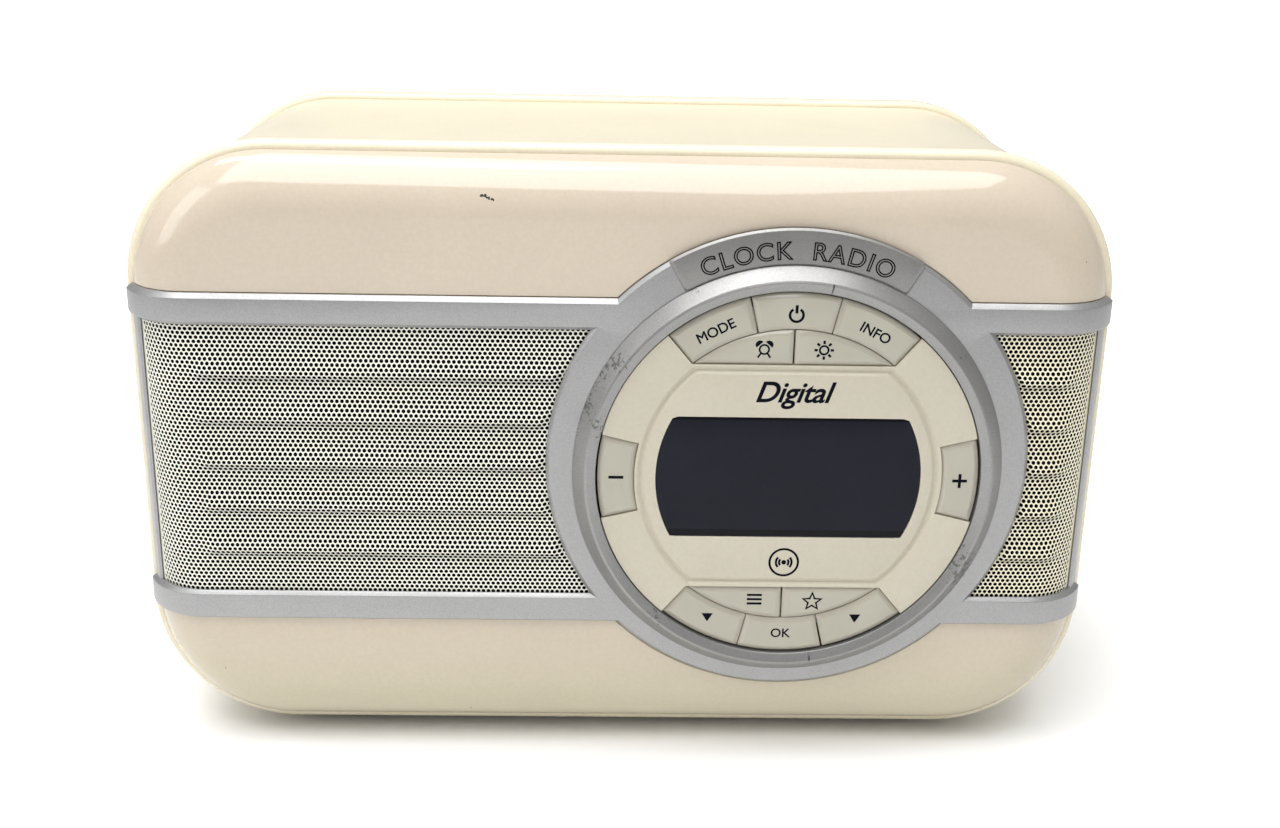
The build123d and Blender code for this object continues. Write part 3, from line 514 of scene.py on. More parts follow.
NICK = (-37.0, FACE_Y + 3.2, BODY_Z + 75.6)
TINT_BELOW = (BODY_Z - 45, BODY_Z - 75)       # the lower part of the shell is tinted yellower and a little darker
shell_cream = glossy_moulding("shell_cream", (0.632, 0.544, 0.43), 0.1, 1.0, 0.3, 1.64, NICK, TINT_BELOW)
cabinet_cream = glossy_moulding("cabinet_cream", (0.82, 0.745, 0.57), 0.26, 0.15, 0.1)
trim_silver = silver_paint("trim_silver", (0.38, 0.38, 0.38))
label_silver = silver_paint("label_silver", (0.29, 0.285, 0.275), 0.38)
ring_silver = silver_paint("ring_silver", (0.315, 0.312, 0.305), 0.33, 0.85, 0.62)
grille_paint = sheet_paint("grille_paint", (0.90, 0.89, 0.79))
grille_aged = sheet_paint("grille_aged", (0.93, 0.87, 0.68))
panel_cream = glossy_moulding("panel_cream", (0.592, 0.548, 0.44), 0.3, 0.25, 0.2)
key_face = key_plastic("key_face", (0.45, 0.432, 0.35), 0.2)
key_edge = key_plastic("key_edge", (0.45, 0.42, 0.345), 0.07)
legend_ink = plain_plastic("legend_ink", (0.004, 0.005, 0.010), 0.55, 2000.0, 0.004)
engraving = plain_plastic("engraving", (0.006, 0.006, 0.006), 0.5, 2000.0, 0.004)
for ink in (legend_ink, engraving):
    ink.node_tree.nodes["Principled BSDF"].inputs["IOR"].default_value = 1.12
window_dark = dark_window("window_dark")

PLAIN = {       # colour, roughness, grain, its depth in millimetres, metallic, drift
    "black_plastic": ((0.018, 0.018, 0.019), 0.5, 1600.0, 0.03),
    "foot_rubber": ((0.025, 0.025, 0.026), 0.8, 900.0, 0.05),
    "steel": ((0.56, 0.56, 0.57), 0.3, 700.0, 0.01, 1.0),
    "aerial_chrome": ((0.75, 0.75, 0.77), 0.09, 300.0, 0.003, 1.0, 0.02),
    "circuit_board": ((0.03, 0.16, 0.06), 0.35, 500.0, 0.03),
    "speaker_paper": ((0.03, 0.03, 0.03), 0.85, 500.0, 0.1),
    "magnet_ferrite": ((0.05, 0.05, 0.052), 0.6, 300.0, 0.05),
    "aluminium": ((0.62, 0.62, 0.64), 0.35, 800.0, 0.01, 1.0),
    "foam": ((0.03, 0.03, 0.03), 0.9, 700.0, 0.15),
    "display_cell": ((0.02, 0.02, 0.03), 0.15, 300.0, 0.003),
}
SLOT_MATERIALS = {
    "shell_cream": shell_cream, "cabinet_cream": cabinet_cream, "trim_silver": trim_silver,
    "grille_paint": grille_paint, "panel_cream": panel_cream, "key_cream": key_face,
    "window_dark": window_dark,
    "grille_cloth": woven_cloth("grille_cloth", (0.004, 0.004, 0.0045)),
    **{name: plain_plastic(name, *look) for name, look in PLAIN.items()},
}
for row in frame["record"]["subparts"]:
    for cad_slot in frame["nodes"][row["node"]].material_slots:
        cad_slot.link = "OBJECT"
        cad_slot.material = SLOT_MATERIALS[row["material_slot"]]


# ------------------------------------ case
def body_ring(offset, y):
    """Rounded outline of the body, grown by offset, at depth y."""
    w, h = BODY_W + 2 * offset, BODY_H + 2 * offset
    return [(x, y, z) for x, z in rounded_rectangle(w, h, BODY_R + offset, 0.0, BODY_Z, 24)]


def nose_rings(radius, first, last, count, centre_y, direction, inset):
    """Body outlines along a bullnose, between two angles; 90 is the flat face, 0 the side."""
    rings = []
    for a in (math.radians(angle) for angle in spread(first, last, count)):
        rings.append(body_ring(-inset + radius * math.cos(a), centre_y + direction * radius * math.sin(a)))
    return rings


def wrap_xy(offset, angle, side):
    """Point in plan on the front corner at an offset from the shell; angle 90 faces front."""
    a = math.radians(angle)
    radius = NOSE_R + offset
    return side * (NOSE_X + radius * math.cos(a)), NOSE_Y - radius * math.sin(a)


def wrap_end(offset, y):
    """Angle on the front corner that lies at depth y."""
    return math.degrees(math.asin((NOSE_Y - y) / (NOSE_R + offset)))


def wrap_sweep(section, segments=16):
    """Sweep a closed (offset, z) section along the front and round both corners."""
    rings = []
    for side in (-1, 1):
        for step in range(segments + 1)[::-side]:
            ring = []
            for offset, z in section:
                end = wrap_end(offset, WRAP_END_Y)
                grown = offset + FLARE * (1 - step / segments) if offset > 1 else offset
                x, y = wrap_xy(grown, end + (90 - end) * step / segments, side)
                ring.append((x, y, z))
            rings.append(ring)
    return loft(rings)


def front_shell():
    rings = nose_rings(NOSE_R - WALL, 90, wrap_end(-WALL, SEAM_Y), 12, NOSE_Y, -1, NOSE_R)
    end = wrap_end(0, SEAM_Y - 0.45)
    lip = NOSE_R * math.cos(math.radians(end)) - NOSE_R
    rings.append(body_ring(lip - 0.6, SEAM_Y - 0.05))
    rings.append(body_ring(lip - 0.15, SEAM_Y - 0.2))
    rings += nose_rings(NOSE_R, end, 90, 20, NOSE_Y, -1, NOSE_R)
    shell = new_object("front_shell_body", *loft(rings))
    path = [wrap_xy(-TRIM_T, angle, -1) for angle in spread(REBATE_END, 90, 12)]
    path += [wrap_xy(-TRIM_T, angle, 1) for angle in spread(90, REBATE_END, 12)]
    path += [(FAR, path[-1][1]), (FAR, FLAT_Y - 30), (-FAR, FLAT_Y - 30), (-FAR, path[0][1])]
    heights = (BAND_LOW[1] - 1.2, BAND_TOP[0] + 1.2)
    boolean(shell, loft([[(x, y, z) for x, y in path] for z in heights]))
    for hole in (circle_points(SHELL_HOLE_R, 128, DIAL_X, DIAL_Z),
                 circle_points(SPEAKER_R, 96, SPEAKER_X, BODY_Z)):
        boolean(shell, prism(hole, FLAT_Y - OVER, SEAM_Y + OVER))
    for z in (BAND_TOP[1] + TOP_BEVEL, BAND_LOW[0] - LOW_LIP - JOINT_GAP):
        upper = z + JOINT_GAP
        boolean(shell, wrap_sweep([(-JOINT_DEPTH, z), (0.4, z), (0.4, upper), (-JOINT_DEPTH, upper)]))
    near, out = PLATE_R - 0.6, PLATE_R + JOINT_GAP
    front, deep = TRIM_T - 0.4, TRIM_T + JOINT_DEPTH
    boolean(shell, lathe([(near, deep), (out, deep), (out, front), (near, front)], PLATE_Z))
    piece(shell, "case", "shell_cream", shell_cream, "front_shell")


def cabinet():
    rim, front, back = SEAM_Y + RIM_FRONT_D, SEAM_Y + 0.2, WAIST_END_Y - 0.1
    corners = [(-WAIST_IN - 3.0, front, 0), (-2.0, front, 0), (RIM_OUT, front, 2.4), (RIM_OUT, rim, 1.9),
               (-WAIST_IN, rim, 0.6), (-WAIST_IN, back, 0.25), (-WAIST_IN - 3.0, back, 0)]
    rings = [body_ring(offset, y) for offset, y in rounded(corners, 6)]
    sleeve = new_object("cabinet_sleeve", *loft(rings, looped=True), 40.0)
    piece(sleeve, "case", "cabinet_cream", cabinet_cream, "cabinet")


def rear_shell():
    end = WAIST_END_Y + RIM_REAR_D
    centre = BACK_Y - BACK_R
    rings = nose_rings(BACK_R - WALL, 90, 0, 8, centre, 1, BACK_R + 1.3)
    outer = [(-WALL - 1.3, WAIST_END_Y, 0), (RIM_OUT, WAIST_END_Y + 0.1, 1.9), (RIM_OUT, end, 2.4),
             (0, end, 0.8), (0, end + 2, 0)]
    rings += [body_ring(offset, y) for offset, y in rounded(outer, 6)]
    rings += nose_rings(BACK_R, 0, 90, 16, centre, 1, BACK_R)[1:]
    shell = new_object("rear_shell_body", *loft(rings), 40.0)
    holes = [
        (rounded_rectangle(*RECESS, CONNECTORS_X, CONNECTORS_Z), RECESS_D),
        (circle_points(PORT_HOLE_R, 96, PORT_X, PORT_Z), REAR_CUT),
        (circle_points(AERIAL_HOLE_R, 48, AERIAL_X, AERIAL_Z), REAR_CUT),
    ]
    holes += [(rounded_rectangle(*VENT, VENT_X, z, 6), REAR_CUT) for z in VENT_Z]
    holes += [(circle_points(SCREW_HOLE_R, 40, x, z), SCREW_HOLE_D) for x, z in SCREW_XZ]
    boolean(shell, merged(*[prism(hole, BACK_Y - depth, BACK_Y + OVER) for hole, depth in holes]))
    opening = rounded_rectangle(*OPENING, CONNECTORS_X, CONNECTORS_Z)
    boolean(shell, prism(opening, BACK_Y - REAR_CUT, BACK_Y + OVER))
    piece(shell, "case", "cabinet_cream", cabinet_cream, "rear_shell")


# ------------------------------------ silver trim
def trim_frame():
    """Bands, round plate and side members as one moulding."""
    (top0, top1), (low0, low1) = BAND_TOP, BAND_LOW
    top = [(TRIM_BACK, top0 - INNER_BEVEL, 0), (0.4, top0 - INNER_BEVEL, 0), (TRIM_T, top0, 0.3),
           (TRIM_T, top1, 0.35), (0.15, top1 + TOP_BEVEL, 0.12), (TRIM_BACK, top1 + TOP_BEVEL, 0)]
    low = [(TRIM_BACK, low0 - LOW_LIP, 0), (TRIM_T - 0.35, low0 - LOW_LIP, 0.15), (TRIM_T, low0, 0.25),
           (TRIM_T, low1, 0.3), (0.4, low1 + INNER_BEVEL, 0), (TRIM_BACK, low1 + INNER_BEVEL, 0)]
    trim = new_object("trim_frame_body", *wrap_sweep(rounded(top)))
    boolean(trim, wrap_sweep(rounded(low)), "UNION")
    back = TRIM_T - TRIM_BACK
    plate = [(PLATE_HOLE_R, back, 0), (PLATE_R, back, 0), (PLATE_R, INNER_BEVEL, 0.15),
             (PLATE_R - INNER_BEVEL, 0, 0.3), (PLATE_HOLE_R, 0, 0)]
    boolean(trim, lathe(rounded(plate), PLATE_Z), "UNION", 20.0)
    foot, head = low1 - 1, top0 + 1
    for side in (-1, 1):
        rings = []
        for y in spread(SEAM_Y - 0.3, SEAM_Y - 4.4, 6):
            ring = []
            for offset, z in ((TRIM_BACK, foot), (0.7, foot), (0.7, head), (TRIM_BACK, head)):
                ring.append((*wrap_xy(offset, wrap_end(offset, y), side), z))
            rings.append(ring)
        boolean(trim, loft(rings), "UNION", 20.0)
    piece(trim, "case", "trim_silver", trim_silver, "trim_frame")


# ------------------------------------ perforated sheets
HOLE_PITCH = 1.43
ROW_PITCH = 1.2
HOLE_R = 0.57
SHEET_OUT = -0.4
SHEET_T = 0.15
SHEET_FROM = BAND_LOW[1] - 1.0
SHEET_TO = BAND_TOP[0] + 1.0
LAST_HOLE = NOSE_X + 15.5     # along the sheet, round the corner
LAST_SHEET = NOSE_X + 17.0
RIDGE_H = 1.85
RIDGE_Z = [DIAL_Z + 28.1 - 13.2 * i for i in range(5)]
RIDGE_ABOVE = 6.0             # the ridges fall away gently upwards
RIDGE_BELOW = 3.4             # and steeply downwards


def eased(value):
    value = min(1.0, max(0.0, value))
    return value * value * (3 - 2 * value)


def ridge(side, z, reach):
    """How far the ridges stand forward, fading out towards the corner and the round plate."""
    height = 0.0
    for crest in RIDGE_Z:
        away = z - crest
        width = RIDGE_ABOVE if away > 0 else RIDGE_BELOW
        if abs(away) < width:
            height += 0.5 * (1 + math.cos(math.pi * away / width))
    last, to_corner, to_plate = (1.5, 6.0, 3.5) if side < 0 else (10.5, 7.0, 2.0)
    height *= eased((NOSE_X + last - reach) / to_corner)
    from_plate = math.hypot(side * reach - DIAL_X, z - PLATE_Z) - PLATE_R
    return RIDGE_H * height * eased((from_plate + 0.3) / to_plate)


def sheet_point(side, reach, z, depth):
    """Point on the sheet: reach runs along it from the middle of the body towards the corner."""
    offset = SHEET_OUT - depth + ridge(side, z, reach)
    if reach <= NOSE_X:
        return side * reach, FLAT_Y - offset, z
    angle = 90 - math.degrees((reach - NOSE_X) / (NOSE_R + SHEET_OUT))
    return (*wrap_xy(offset, angle, side), z)


def grille(side, name, paint):
    """Perforated sheet: one cell of eight faces and eight walls for each hole."""
    rows = int((SHEET_TO - SHEET_FROM) / ROW_PITCH)
    start_z = (SHEET_FROM + SHEET_TO - (rows - 1) * ROW_PITCH) / 2
    vertices, faces = [], []
    index = {}

    def vertex(reach, z, depth=0.0):
        key = (round(reach, 3), round(z, 3), depth)
        if key not in index:
            index[key] = len(vertices)
            vertices.append(sheet_point(side, reach, z, depth))
        return index[key]

    def beside_plate(reach, z):
        """Whether the sheet shows here, on its own side of the dial and outside the round plate."""
        x = side * reach - DIAL_X
        return side * x >= 0 and math.hypot(x, z - PLATE_Z) >= PLATE_R - 1.0

    half, tall = HOLE_PITCH / 2, ROW_PITCH / 2
    cell = [(half, 0), (half, tall), (0, tall), (-half, tall),
            (-half, 0), (-half, -tall), (0, -tall), (half, -tall)]
    rim = [(HOLE_R * math.cos(math.pi * i / 4), HOLE_R * math.sin(math.pi * i / 4)) for i in range(8)]
    for row in range(rows):
        z = start_z + row * ROW_PITCH
        start = LAST_HOLE - (half if row % 2 else 0.0)
        reach = start - half
        while beside_plate(reach, z):
            outer = [vertex(reach + u, z + v) for u, v in cell]
            front = [vertex(reach + u, z + v) for u, v in rim]
            back = [vertex(reach + u, z + v, SHEET_T) for u, v in rim]
            for i in range(8):
                j = (i + 1) % 8
                faces.append((outer[i], outer[j], front[j], front[i]))
                faces.append((front[i], front[j], back[j], back[i]))
            reach -= HOLE_PITCH
        stops = spread(start, LAST_SHEET, 3)
        for a, b in zip(stops[:-1], stops[1:]):
            corners = ((a, z - tall), (b, z - tall), (b, z + tall), (a, z + tall))
            faces.append(tuple(vertex(*corner) for corner in corners))
    sheet = new_object("speaker_grille_" + name, vertices, faces, 60.0)
    piece(sheet, "case", "grille_paint", paint, "grille_" + name)


# ------------------------------------ dial
def point_at(radius, degrees, u=0.0, v=0.0):
    """Point at a distance from (u, v), angle clockwise from the top."""
    a = math.radians(degrees)
    return u + radius * math.sin(a), v + radius * math.cos(a)


def polar(radius, degrees):
    """Point (x, z) on the dial."""
    return point_at(radius, degrees, DIAL_X, DIAL_Z)


def arc(radius, a0, a1, count, u=0.0, v=0.0):
    return [point_at(radius, a, u, v) for a in spread(a0, a1, count)]


def turned(points, spot, degrees):
    """(u, v) points put at a spot (x, z) on the dial, turned clockwise."""
    a = math.radians(degrees)
    c, s = math.cos(a), math.sin(a)
    return [(spot[0] + u * c + v * s, spot[1] - u * s + v * c) for u, v in points]


def along(first, last, distance):
    first, last = Vector(first), Vector(last)
    return tuple(first + (last - first).normalized() * distance)


def edge(first, last, ease_first=0.9, ease_last=0.9):
    """Straight side between two corners, with a point near each end."""
    return [first, along(first, last, ease_first), along(last, first, ease_last), last]


def chain(sides, cut, segments=4):
    """Closed outline from sides that meet at corners, each corner eased over a short length."""
    points = []
    for i, side in enumerate(sides):
        following = sides[(i + 1) % len(sides)]
        points += side[1:-1]
        corner = Vector(side[-1])
        before = corner + (Vector(side[-2]) - corner).normalized() * cut
        after = corner + (Vector(following[1]) - corner).normalized() * cut
        for t in spread(0, 1, segments):
            points.append(tuple(before * (1 - t) ** 2 + corner * 2 * t * (1 - t) + after * t * t))
    return points


KEY_FRONT_Y = PANEL_Y - 0.1
KEY_PROFILE = [(0.0, 3.4), (0.0, 1.0), (0.08, 0.78), (0.24, 0.64), (1.15, 0.12), (1.4, 0.0)]
BEVEL_DEPTHS = (0.048, 0.78)  # a face between these belongs to the polished bevel
KEY_GAP = 0.07
WIDE_GAP = 0.3                # some neighbouring keys stand visibly apart
SPLIT = 13.4
GROUP = 40.0
KEY_OUT_R = 53.9
KEY_MID_R = 48.5
KEY_IN_R = 43.5
CHORD = 33.4


def arc_key(a0, a1, inset):
    """Sides of a key in the outer ring, moved inwards by inset."""
    low, high = KEY_IN_R + inset, KEY_OUT_R - inset
    turn_low = math.degrees(math.asin(inset / low))
    turn_high = math.degrees(math.asin(inset / high))
    inner = [polar(low, a) for a in spread(a0 + turn_low, a1 - turn_low, 20)]
    outer = [polar(high, a) for a in spread(a1 - turn_high, a0 + turn_high, 20)]
    return [inner, edge(inner[-1], outer[0]), outer, edge(outer[-1], inner[0])]


def chord_key(split, side, up, inset):
    """Sides of a key between the straight edge and the outer ring of keys."""
    x0, z0, r = split + inset, CHORD + KEY_GAP + inset, KEY_IN_R - 2 * KEY_GAP - inset
    far = math.degrees(math.atan2(math.sqrt(r * r - z0 * z0), z0))
    near = math.degrees(math.asin(x0 / r))
    outer = arc(r, far, near, 20)
    sides = (outer, edge(outer[-1], (x0, z0)), edge((x0, z0), outer[0]))
    return [[(DIAL_X + side * x, DIAL_Z + up * z) for x, z in line] for line in sides]


def arc_sides(a0, a1, gap0=KEY_GAP, gap1=KEY_GAP):
    first, last = a0 + math.degrees(gap0 / KEY_MID_R), a1 - math.degrees(gap1 / KEY_MID_R)
    return lambda inset: arc_key(first, last, inset)


def chord_sides(side, up, split=KEY_GAP):
    return lambda inset: chord_key(split, side, up, inset)


KEYS = {
    "mode": arc_sides(-GROUP, -SPLIT, gap1=WIDE_GAP), "power": arc_sides(-SPLIT, SPLIT),
    "info": arc_sides(SPLIT, GROUP),
    "alarm": chord_sides(-1, 1, WIDE_GAP), "brightness": chord_sides(1, 1),
    "minus": arc_sides(-90 - SPLIT, -90 + SPLIT), "plus": arc_sides(90 - SPLIT, 90 + SPLIT),
    "menu": chord_sides(-1, -1, WIDE_GAP), "favourite": chord_sides(1, -1),
    "previous": arc_sides(180 + SPLIT, 180 + GROUP),
    "ok": arc_sides(180 - SPLIT, 180 + SPLIT, gap0=WIDE_GAP),
    "next": arc_sides(180 - GROUP, 180 - SPLIT),
}


def key_cap(name, sides_at):
    """Key cap lofted through inset outlines, with its bevel as a second material."""
    rings = []
    for inset, depth in KEY_PROFILE:
        rings.append([(x, KEY_FRONT_Y + depth, z) for x, z in chain(sides_at(inset), 0.45)])
    cap = new_object("key_" + name, *loft(rings), 24.0)
    cap.data.materials.append(key_face)
    cap.data.materials.append(key_edge)
    for face in cap.data.polygons:
        depth = face.center.y / MM - KEY_FRONT_Y
        face.material_index = int(BEVEL_DEPTHS[0] < depth < BEVEL_DEPTHS[1])
    piece(cap, name + "_key", "key_cream", None, "button_" + name)


WINDOW = (37.5, 18.2, -17.8)            # radius, and heights of the straight top and bottom
GROOVE = (43.0, 33.0, -33.0)
GROOVE_DEEP = 1.5
GROOVE_PROFILE = ((0.0, 0.0), (0.25, 0.05), (0.55, 0.2), (0.9, 0.45), (1.3, 0.55), (1.7, 0.45),
                  (2.05, 0.2), (2.35, 0.05), (2.6, 0.0))
KEY_CLEARANCE = 0.08                    # degrees between a group of keys and the panel


def lens_at(degrees, shape, inset):
    """Point at an angle on a circle that is cut off at the top and bottom, moved in by inset."""
    radius, top, low = shape[0] - inset, shape[1] - inset, shape[2] + inset
    a = math.radians(degrees)
    x, z = radius * math.sin(a), radius * math.cos(a)
    if z > top:
        x, z = x * top / z, top
    elif z < low:
        x, z = x * low / z, low
    return DIAL_X + x, DIAL_Z + z


def panel_edge(degrees):
    """Distance from the dial's centre to the panel's edge at an angle."""
    turn = abs((degrees + 180) % 360 - 180)
    up = min(turn, 180 - turn)
    if up < GROUP + KEY_CLEARANCE:
        return (CHORD - 0.03) / math.cos(math.radians(up))
    if abs(turn - 90) < SPLIT + KEY_CLEARANCE:
        return KEY_IN_R - 0.05
    return PANEL_R


def dial_panel():
    """Cream disc with its key openings, window opening and moulded groove."""
    angles = spread(0, 360, 192)[:-1]
    for centre, reach in ((0, GROUP), (180, GROUP), (90, SPLIT), (270, SPLIT)):
        jumps = (centre + sign * (reach + KEY_CLEARANCE) for sign in (-1, 1))
        angles += [(jump + step) % 360 for jump in jumps for step in (-0.001, 0.001)]
    angles.sort()
    back = PANEL_Y + PANEL_T
    outlines = [(y, [polar(panel_edge(a), a) for a in angles]) for y in (back, PANEL_Y)]
    for inset, depth in GROOVE_PROFILE:
        outlines.append((PANEL_Y + GROOVE_DEEP * depth, [lens_at(a, GROOVE, inset) for a in angles]))
    outlines += [(y, [lens_at(a, WINDOW, 0.0) for a in angles]) for y in (PANEL_Y, back)]
    rings = [[(x, y, z) for x, z in outline] for y, outline in outlines]
    panel = new_object("dial_panel_face", *loft(rings, looped=True), 30.0)
    bevel(panel, 0.22, 2, 50.0)
    piece(panel, "case", "panel_cream", panel_cream, "dial_panel")


def display_window():
    rings = []
    for inset, depth in ((0.14, 1.9), (0.14, 0.25), (0.2, 0.14), (0.34, 0.1)):
        outline = [lens_at(a, WINDOW, inset) for a in spread(0, 360, 192)[:-1]]
        rings.append([(x, PANEL_Y + depth, z) for x, z in outline])
    window = new_object("display_window_pane", *loft(rings), 30.0)
    piece(window, "case", "window_dark", window_dark, "display_window")


RING_FOOT_R = 57.4
REGISTER_SLOTS = ((9.6, 4.2), (171.1, 3.4))     # where on the ring, in degrees, and how long


def dial_ring():
    corners = [(RING_INNER_R, 1.55, 0), (RING_FOOT_R, 1.55, 0), (RING_FOOT_R, -0.02, 0),
               (RING_BASE_R, -0.02, 0.12), (60.95, -0.55, 0.3), (57.6, -4.3, 0.7),
               (RING_EDGE_R, -RING_H, 0.3), (RING_INNER_R, -RING_H + 1.15, 0.3)]
    ring = new_object("dial_ring_body", *lathe(rounded(corners, 5), DIAL_Z), 28.0)
    for degrees, length in REGISTER_SLOTS:
        w, h = 0.26, length / 2
        slot = turned([(-w, -h), (w, -h), (w, h), (-w, h)], polar(RING_EDGE_R - 1.6, degrees), degrees)
        boolean(ring, prism(slot, FACE_Y - 6, FACE_Y - RING_H + 1.5), smooth_deg=28.0)
    piece(ring, "case", "trim_silver", ring_silver, "dial_ring")


LABEL_HALF = 29.8               # degrees to either side of the top
LABEL_PROFILE = ((0.0, 0.02), (0.0, -0.14), (0.08, -0.22), (0.62, -0.74), (0.82, -0.8))


def label_plate():
    """Raised plate over the top of the round trim."""
    offset_z = PLATE_Z - DIAL_Z

    def outer_r(degrees, inset):
        a = math.radians(degrees)
        r = PLATE_R + 0.4 - inset
        return offset_z * math.cos(a) + math.sqrt(r * r - (offset_z * math.sin(a)) ** 2)

    def sides(inset):
        low = RING_BASE_R + 0.15 + inset * 0.3
        inner_half = LABEL_HALF - math.degrees(inset / low)
        outer_half = LABEL_HALF - math.degrees(inset / 69.0)
        inner = [polar(low, a) for a in spread(-inner_half, inner_half, 48)]
        outer = [polar(outer_r(a, inset), a) for a in spread(outer_half, -outer_half, 48)]
        return [inner, edge(inner[-1], outer[0], 1.2, 1.6), outer, edge(outer[-1], inner[0], 1.6, 1.2)]

    rings = []
    for inset, depth in LABEL_PROFILE:
        rings.append([(x, FACE_Y + depth, z) for x, z in chain(sides(inset), 0.8, 5)])
    plate = new_object("label_plate_body", *loft(rings), 22.0)
    piece(plate, "case", "trim_silver", label_silver, "label_plate")


# ------------------------------------ legends
INK_SPREAD = 0.1              # printed strokes come out a little wider than drawn
INK_T = 0.02                  # half the thickness of a printed sign


def text_mesh(words, size, shear=0.0, spacing=1.0, outline=0.0):
    """Vertices (u, v, depth) and faces of centred words, or of their outlines, in millimetres."""
    curve = bpy.data.curves.new("words", "FONT")
    curve.body = words
    curve.size = size
    curve.shear = shear
    curve.space_character = spacing
    curve.align_x = "CENTER"
    curve.resolution_u = 6
    if outline > 0:
        curve.fill_mode = "NONE"
        curve.bevel_depth = outline
        curve.bevel_resolution = 1
    else:
        curve.extrude = INK_T
    thing = linked("words", curve)
    mesh = evaluated_mesh(thing)
    flatten = 0.3 if outline > 0 else 1.0
    vertices = [(v.co.x, v.co.y, v.co.z * flatten) for v in mesh.vertices]
    faces = [tuple(f.vertices) for f in mesh.polygons]
    bpy.data.objects.remove(thing)
    return vertices, faces


def bold_text(words, size, heavier, shear=0.0, spacing=1.0):
    """Words made heavier by a thin stroke along their outlines."""
    return merged(text_mesh(words, size, shear, spacing), text_mesh(words, size, shear, spacing, heavier))


def printed(name, mesh, y, body, slot, spot, tilt=0.0, drop=0.0):
    """Ink sign standing on depth y at a spot on the dial, lowered by drop and turned by tilt."""
    vertices, faces = mesh
    flat = turned([(u, v - drop) for u, v, _ in vertices], spot, tilt)
    placed = [(x, y - vertex[2], z) for (x, z), vertex in zip(flat, vertices)]
    piece(new_object(name, placed, faces, 30.0), body, slot, legend_ink)


def ribbon(points, width, closed=False):
    """Flat stroke of even width along (u, v) points, with the ink's thickness."""
    width += INK_SPREAD
    count = len(points)
    left, right = [], []
    for i, p in enumerate(points):
        before = Vector(points[i - 1]) if closed or i > 0 else Vector(p)
        after = Vector(points[(i + 1) % count]) if closed or i < count - 1 else Vector(p)
        ahead = (after - before).normalized()
        side = Vector((-ahead.y, ahead.x)) * width / 2
        if 0 < i < count - 1 or closed:
            first = (Vector(p) - before).normalized()
            second = (after - Vector(p)).normalized()
            side /= max(0.5, math.cos(first.angle(second, 0.0) / 2))
        left.append(Vector(p) + side)
        right.append(Vector(p) - side)
    rings = [[(*a, INK_T), (*b, INK_T), (*b, -INK_T), (*a, -INK_T)] for a, b in zip(left, right)]
    return loft(rings, looped=closed)


def filled(points):
    return loft([[(*p, depth) for p in points] for depth in (INK_T, -INK_T)])


def bar(u0, v0, u1, v1, width):
    return ribbon([(u0, v0), (u1, v1)], width)


def icon_power():
    return merged(ribbon(arc(1.85, 32, 328, 30, 0, -0.3), 0.62), bar(0, 0.2, 0, 2.5, 0.72))


def icon_alarm():
    ring = ribbon(arc(1.3, 0, 348.75, 31), 0.42, True)
    bells = [filled(arc(1.2, 90 + side * 42, side * 42 - 90, 12, side * 1.25, 1.35)) for side in (-1, 1)]
    feet = [bar(side * 0.9, -1.1, side * 1.75, -2.35, 0.42) for side in (-1, 1)]
    return merged(ring, *bells, *feet)


def icon_sun():
    rays = [bar(*point_at(1.75, a), *point_at(2.7, a), 0.58) for a in range(0, 360, 45)]
    return merged(ribbon(arc(1.2, 0, 345, 23), 0.46, True), *rays)


def icon_star():
    return ribbon([point_at(1.2 if step % 2 else 2.75, 36 * step) for step in range(10)], 0.42, True)


def icon_emblem():
    """Generic sound-wave emblem in a circle."""
    waves = [ribbon(arc(4.1, 0, 356.25, 95), 0.56, True), filled(arc(0.7, 0, 345, 23))]
    for radius in (1.35, 2.25):
        for centre in (90, 270):
            waves.append(ribbon(arc(radius, centre - 42, centre + 42, 12), 0.55))
    return merged(*waves)


def legends():
    dash = bar(-2.1, 0, 2.1, 0, 0.75)
    cross = merged(dash, bar(0, 0.38, 0, 2.1, 0.75), bar(0, -2.1, 0, -0.38, 0.75))
    down = filled([(-1.65, 1.25), (1.65, 1.25), (0, -1.4)])
    stripes = merged(*[bar(-2.15, v, 2.15, v, 0.58) for v in (-1.35, 0, 1.35)])
    drop = 1.35
    signs = {
        "mode": (bold_text("MODE", 4.0, 0.075), polar(48.2, -27.0), -27.0, drop),
        "info": (bold_text("INFO", 4.0, 0.075), polar(48.2, 27.0), 27.0, drop),
        "ok": (bold_text("OK", 3.9, 0.065), polar(48.0, 180.0), 0.0, drop),
        "power": (icon_power(), polar(48.0, 0.0)),
        "minus": (dash, polar(48.6, -90.0)), "plus": (cross, polar(48.6, 90.0)),
        "previous": (down, polar(48.2, -153.5)), "next": (down, polar(48.2, 153.5)),
        "alarm": (icon_alarm(), (DIAL_X - 8.4, DIAL_Z + 37.9)),
        "brightness": (icon_sun(), (DIAL_X + 8.05, DIAL_Z + 37.9)),
        "menu": (stripes, (DIAL_X - 8.0, DIAL_Z - 37.3)),
        "favourite": (icon_star(), (DIAL_X + 8.8, DIAL_Z - 37.9)),
    }
    for name, (mesh, *place) in signs.items():
        printed("legend_" + name, mesh, KEY_FRONT_Y, name + "_key", "key_cream", *place)
    word = bold_text("Digital", 8.4, 0.16, 0.34, 0.97)
    printed("panel_word", word, PANEL_Y, "case", "panel_cream", (DIAL_X, DIAL_Z + 22.8))
    printed("panel_emblem", icon_emblem(), PANEL_Y, "case", "panel_cream", (DIAL_X, DIAL_Z - 25.6))
    vertices, faces = text_mesh("CLOCK  RADIO", 6.9, 0.0, 1.15, 0.2)
    bent = []
    for u, v, depth in vertices:
        x, z = polar(62.75 + v, math.degrees(u / 65.0))
        bent.append((x, FACE_Y - 0.8 - depth, z))
    piece(new_object("label_wording", bent, faces, 40.0), "case", "trim_silver", engraving)


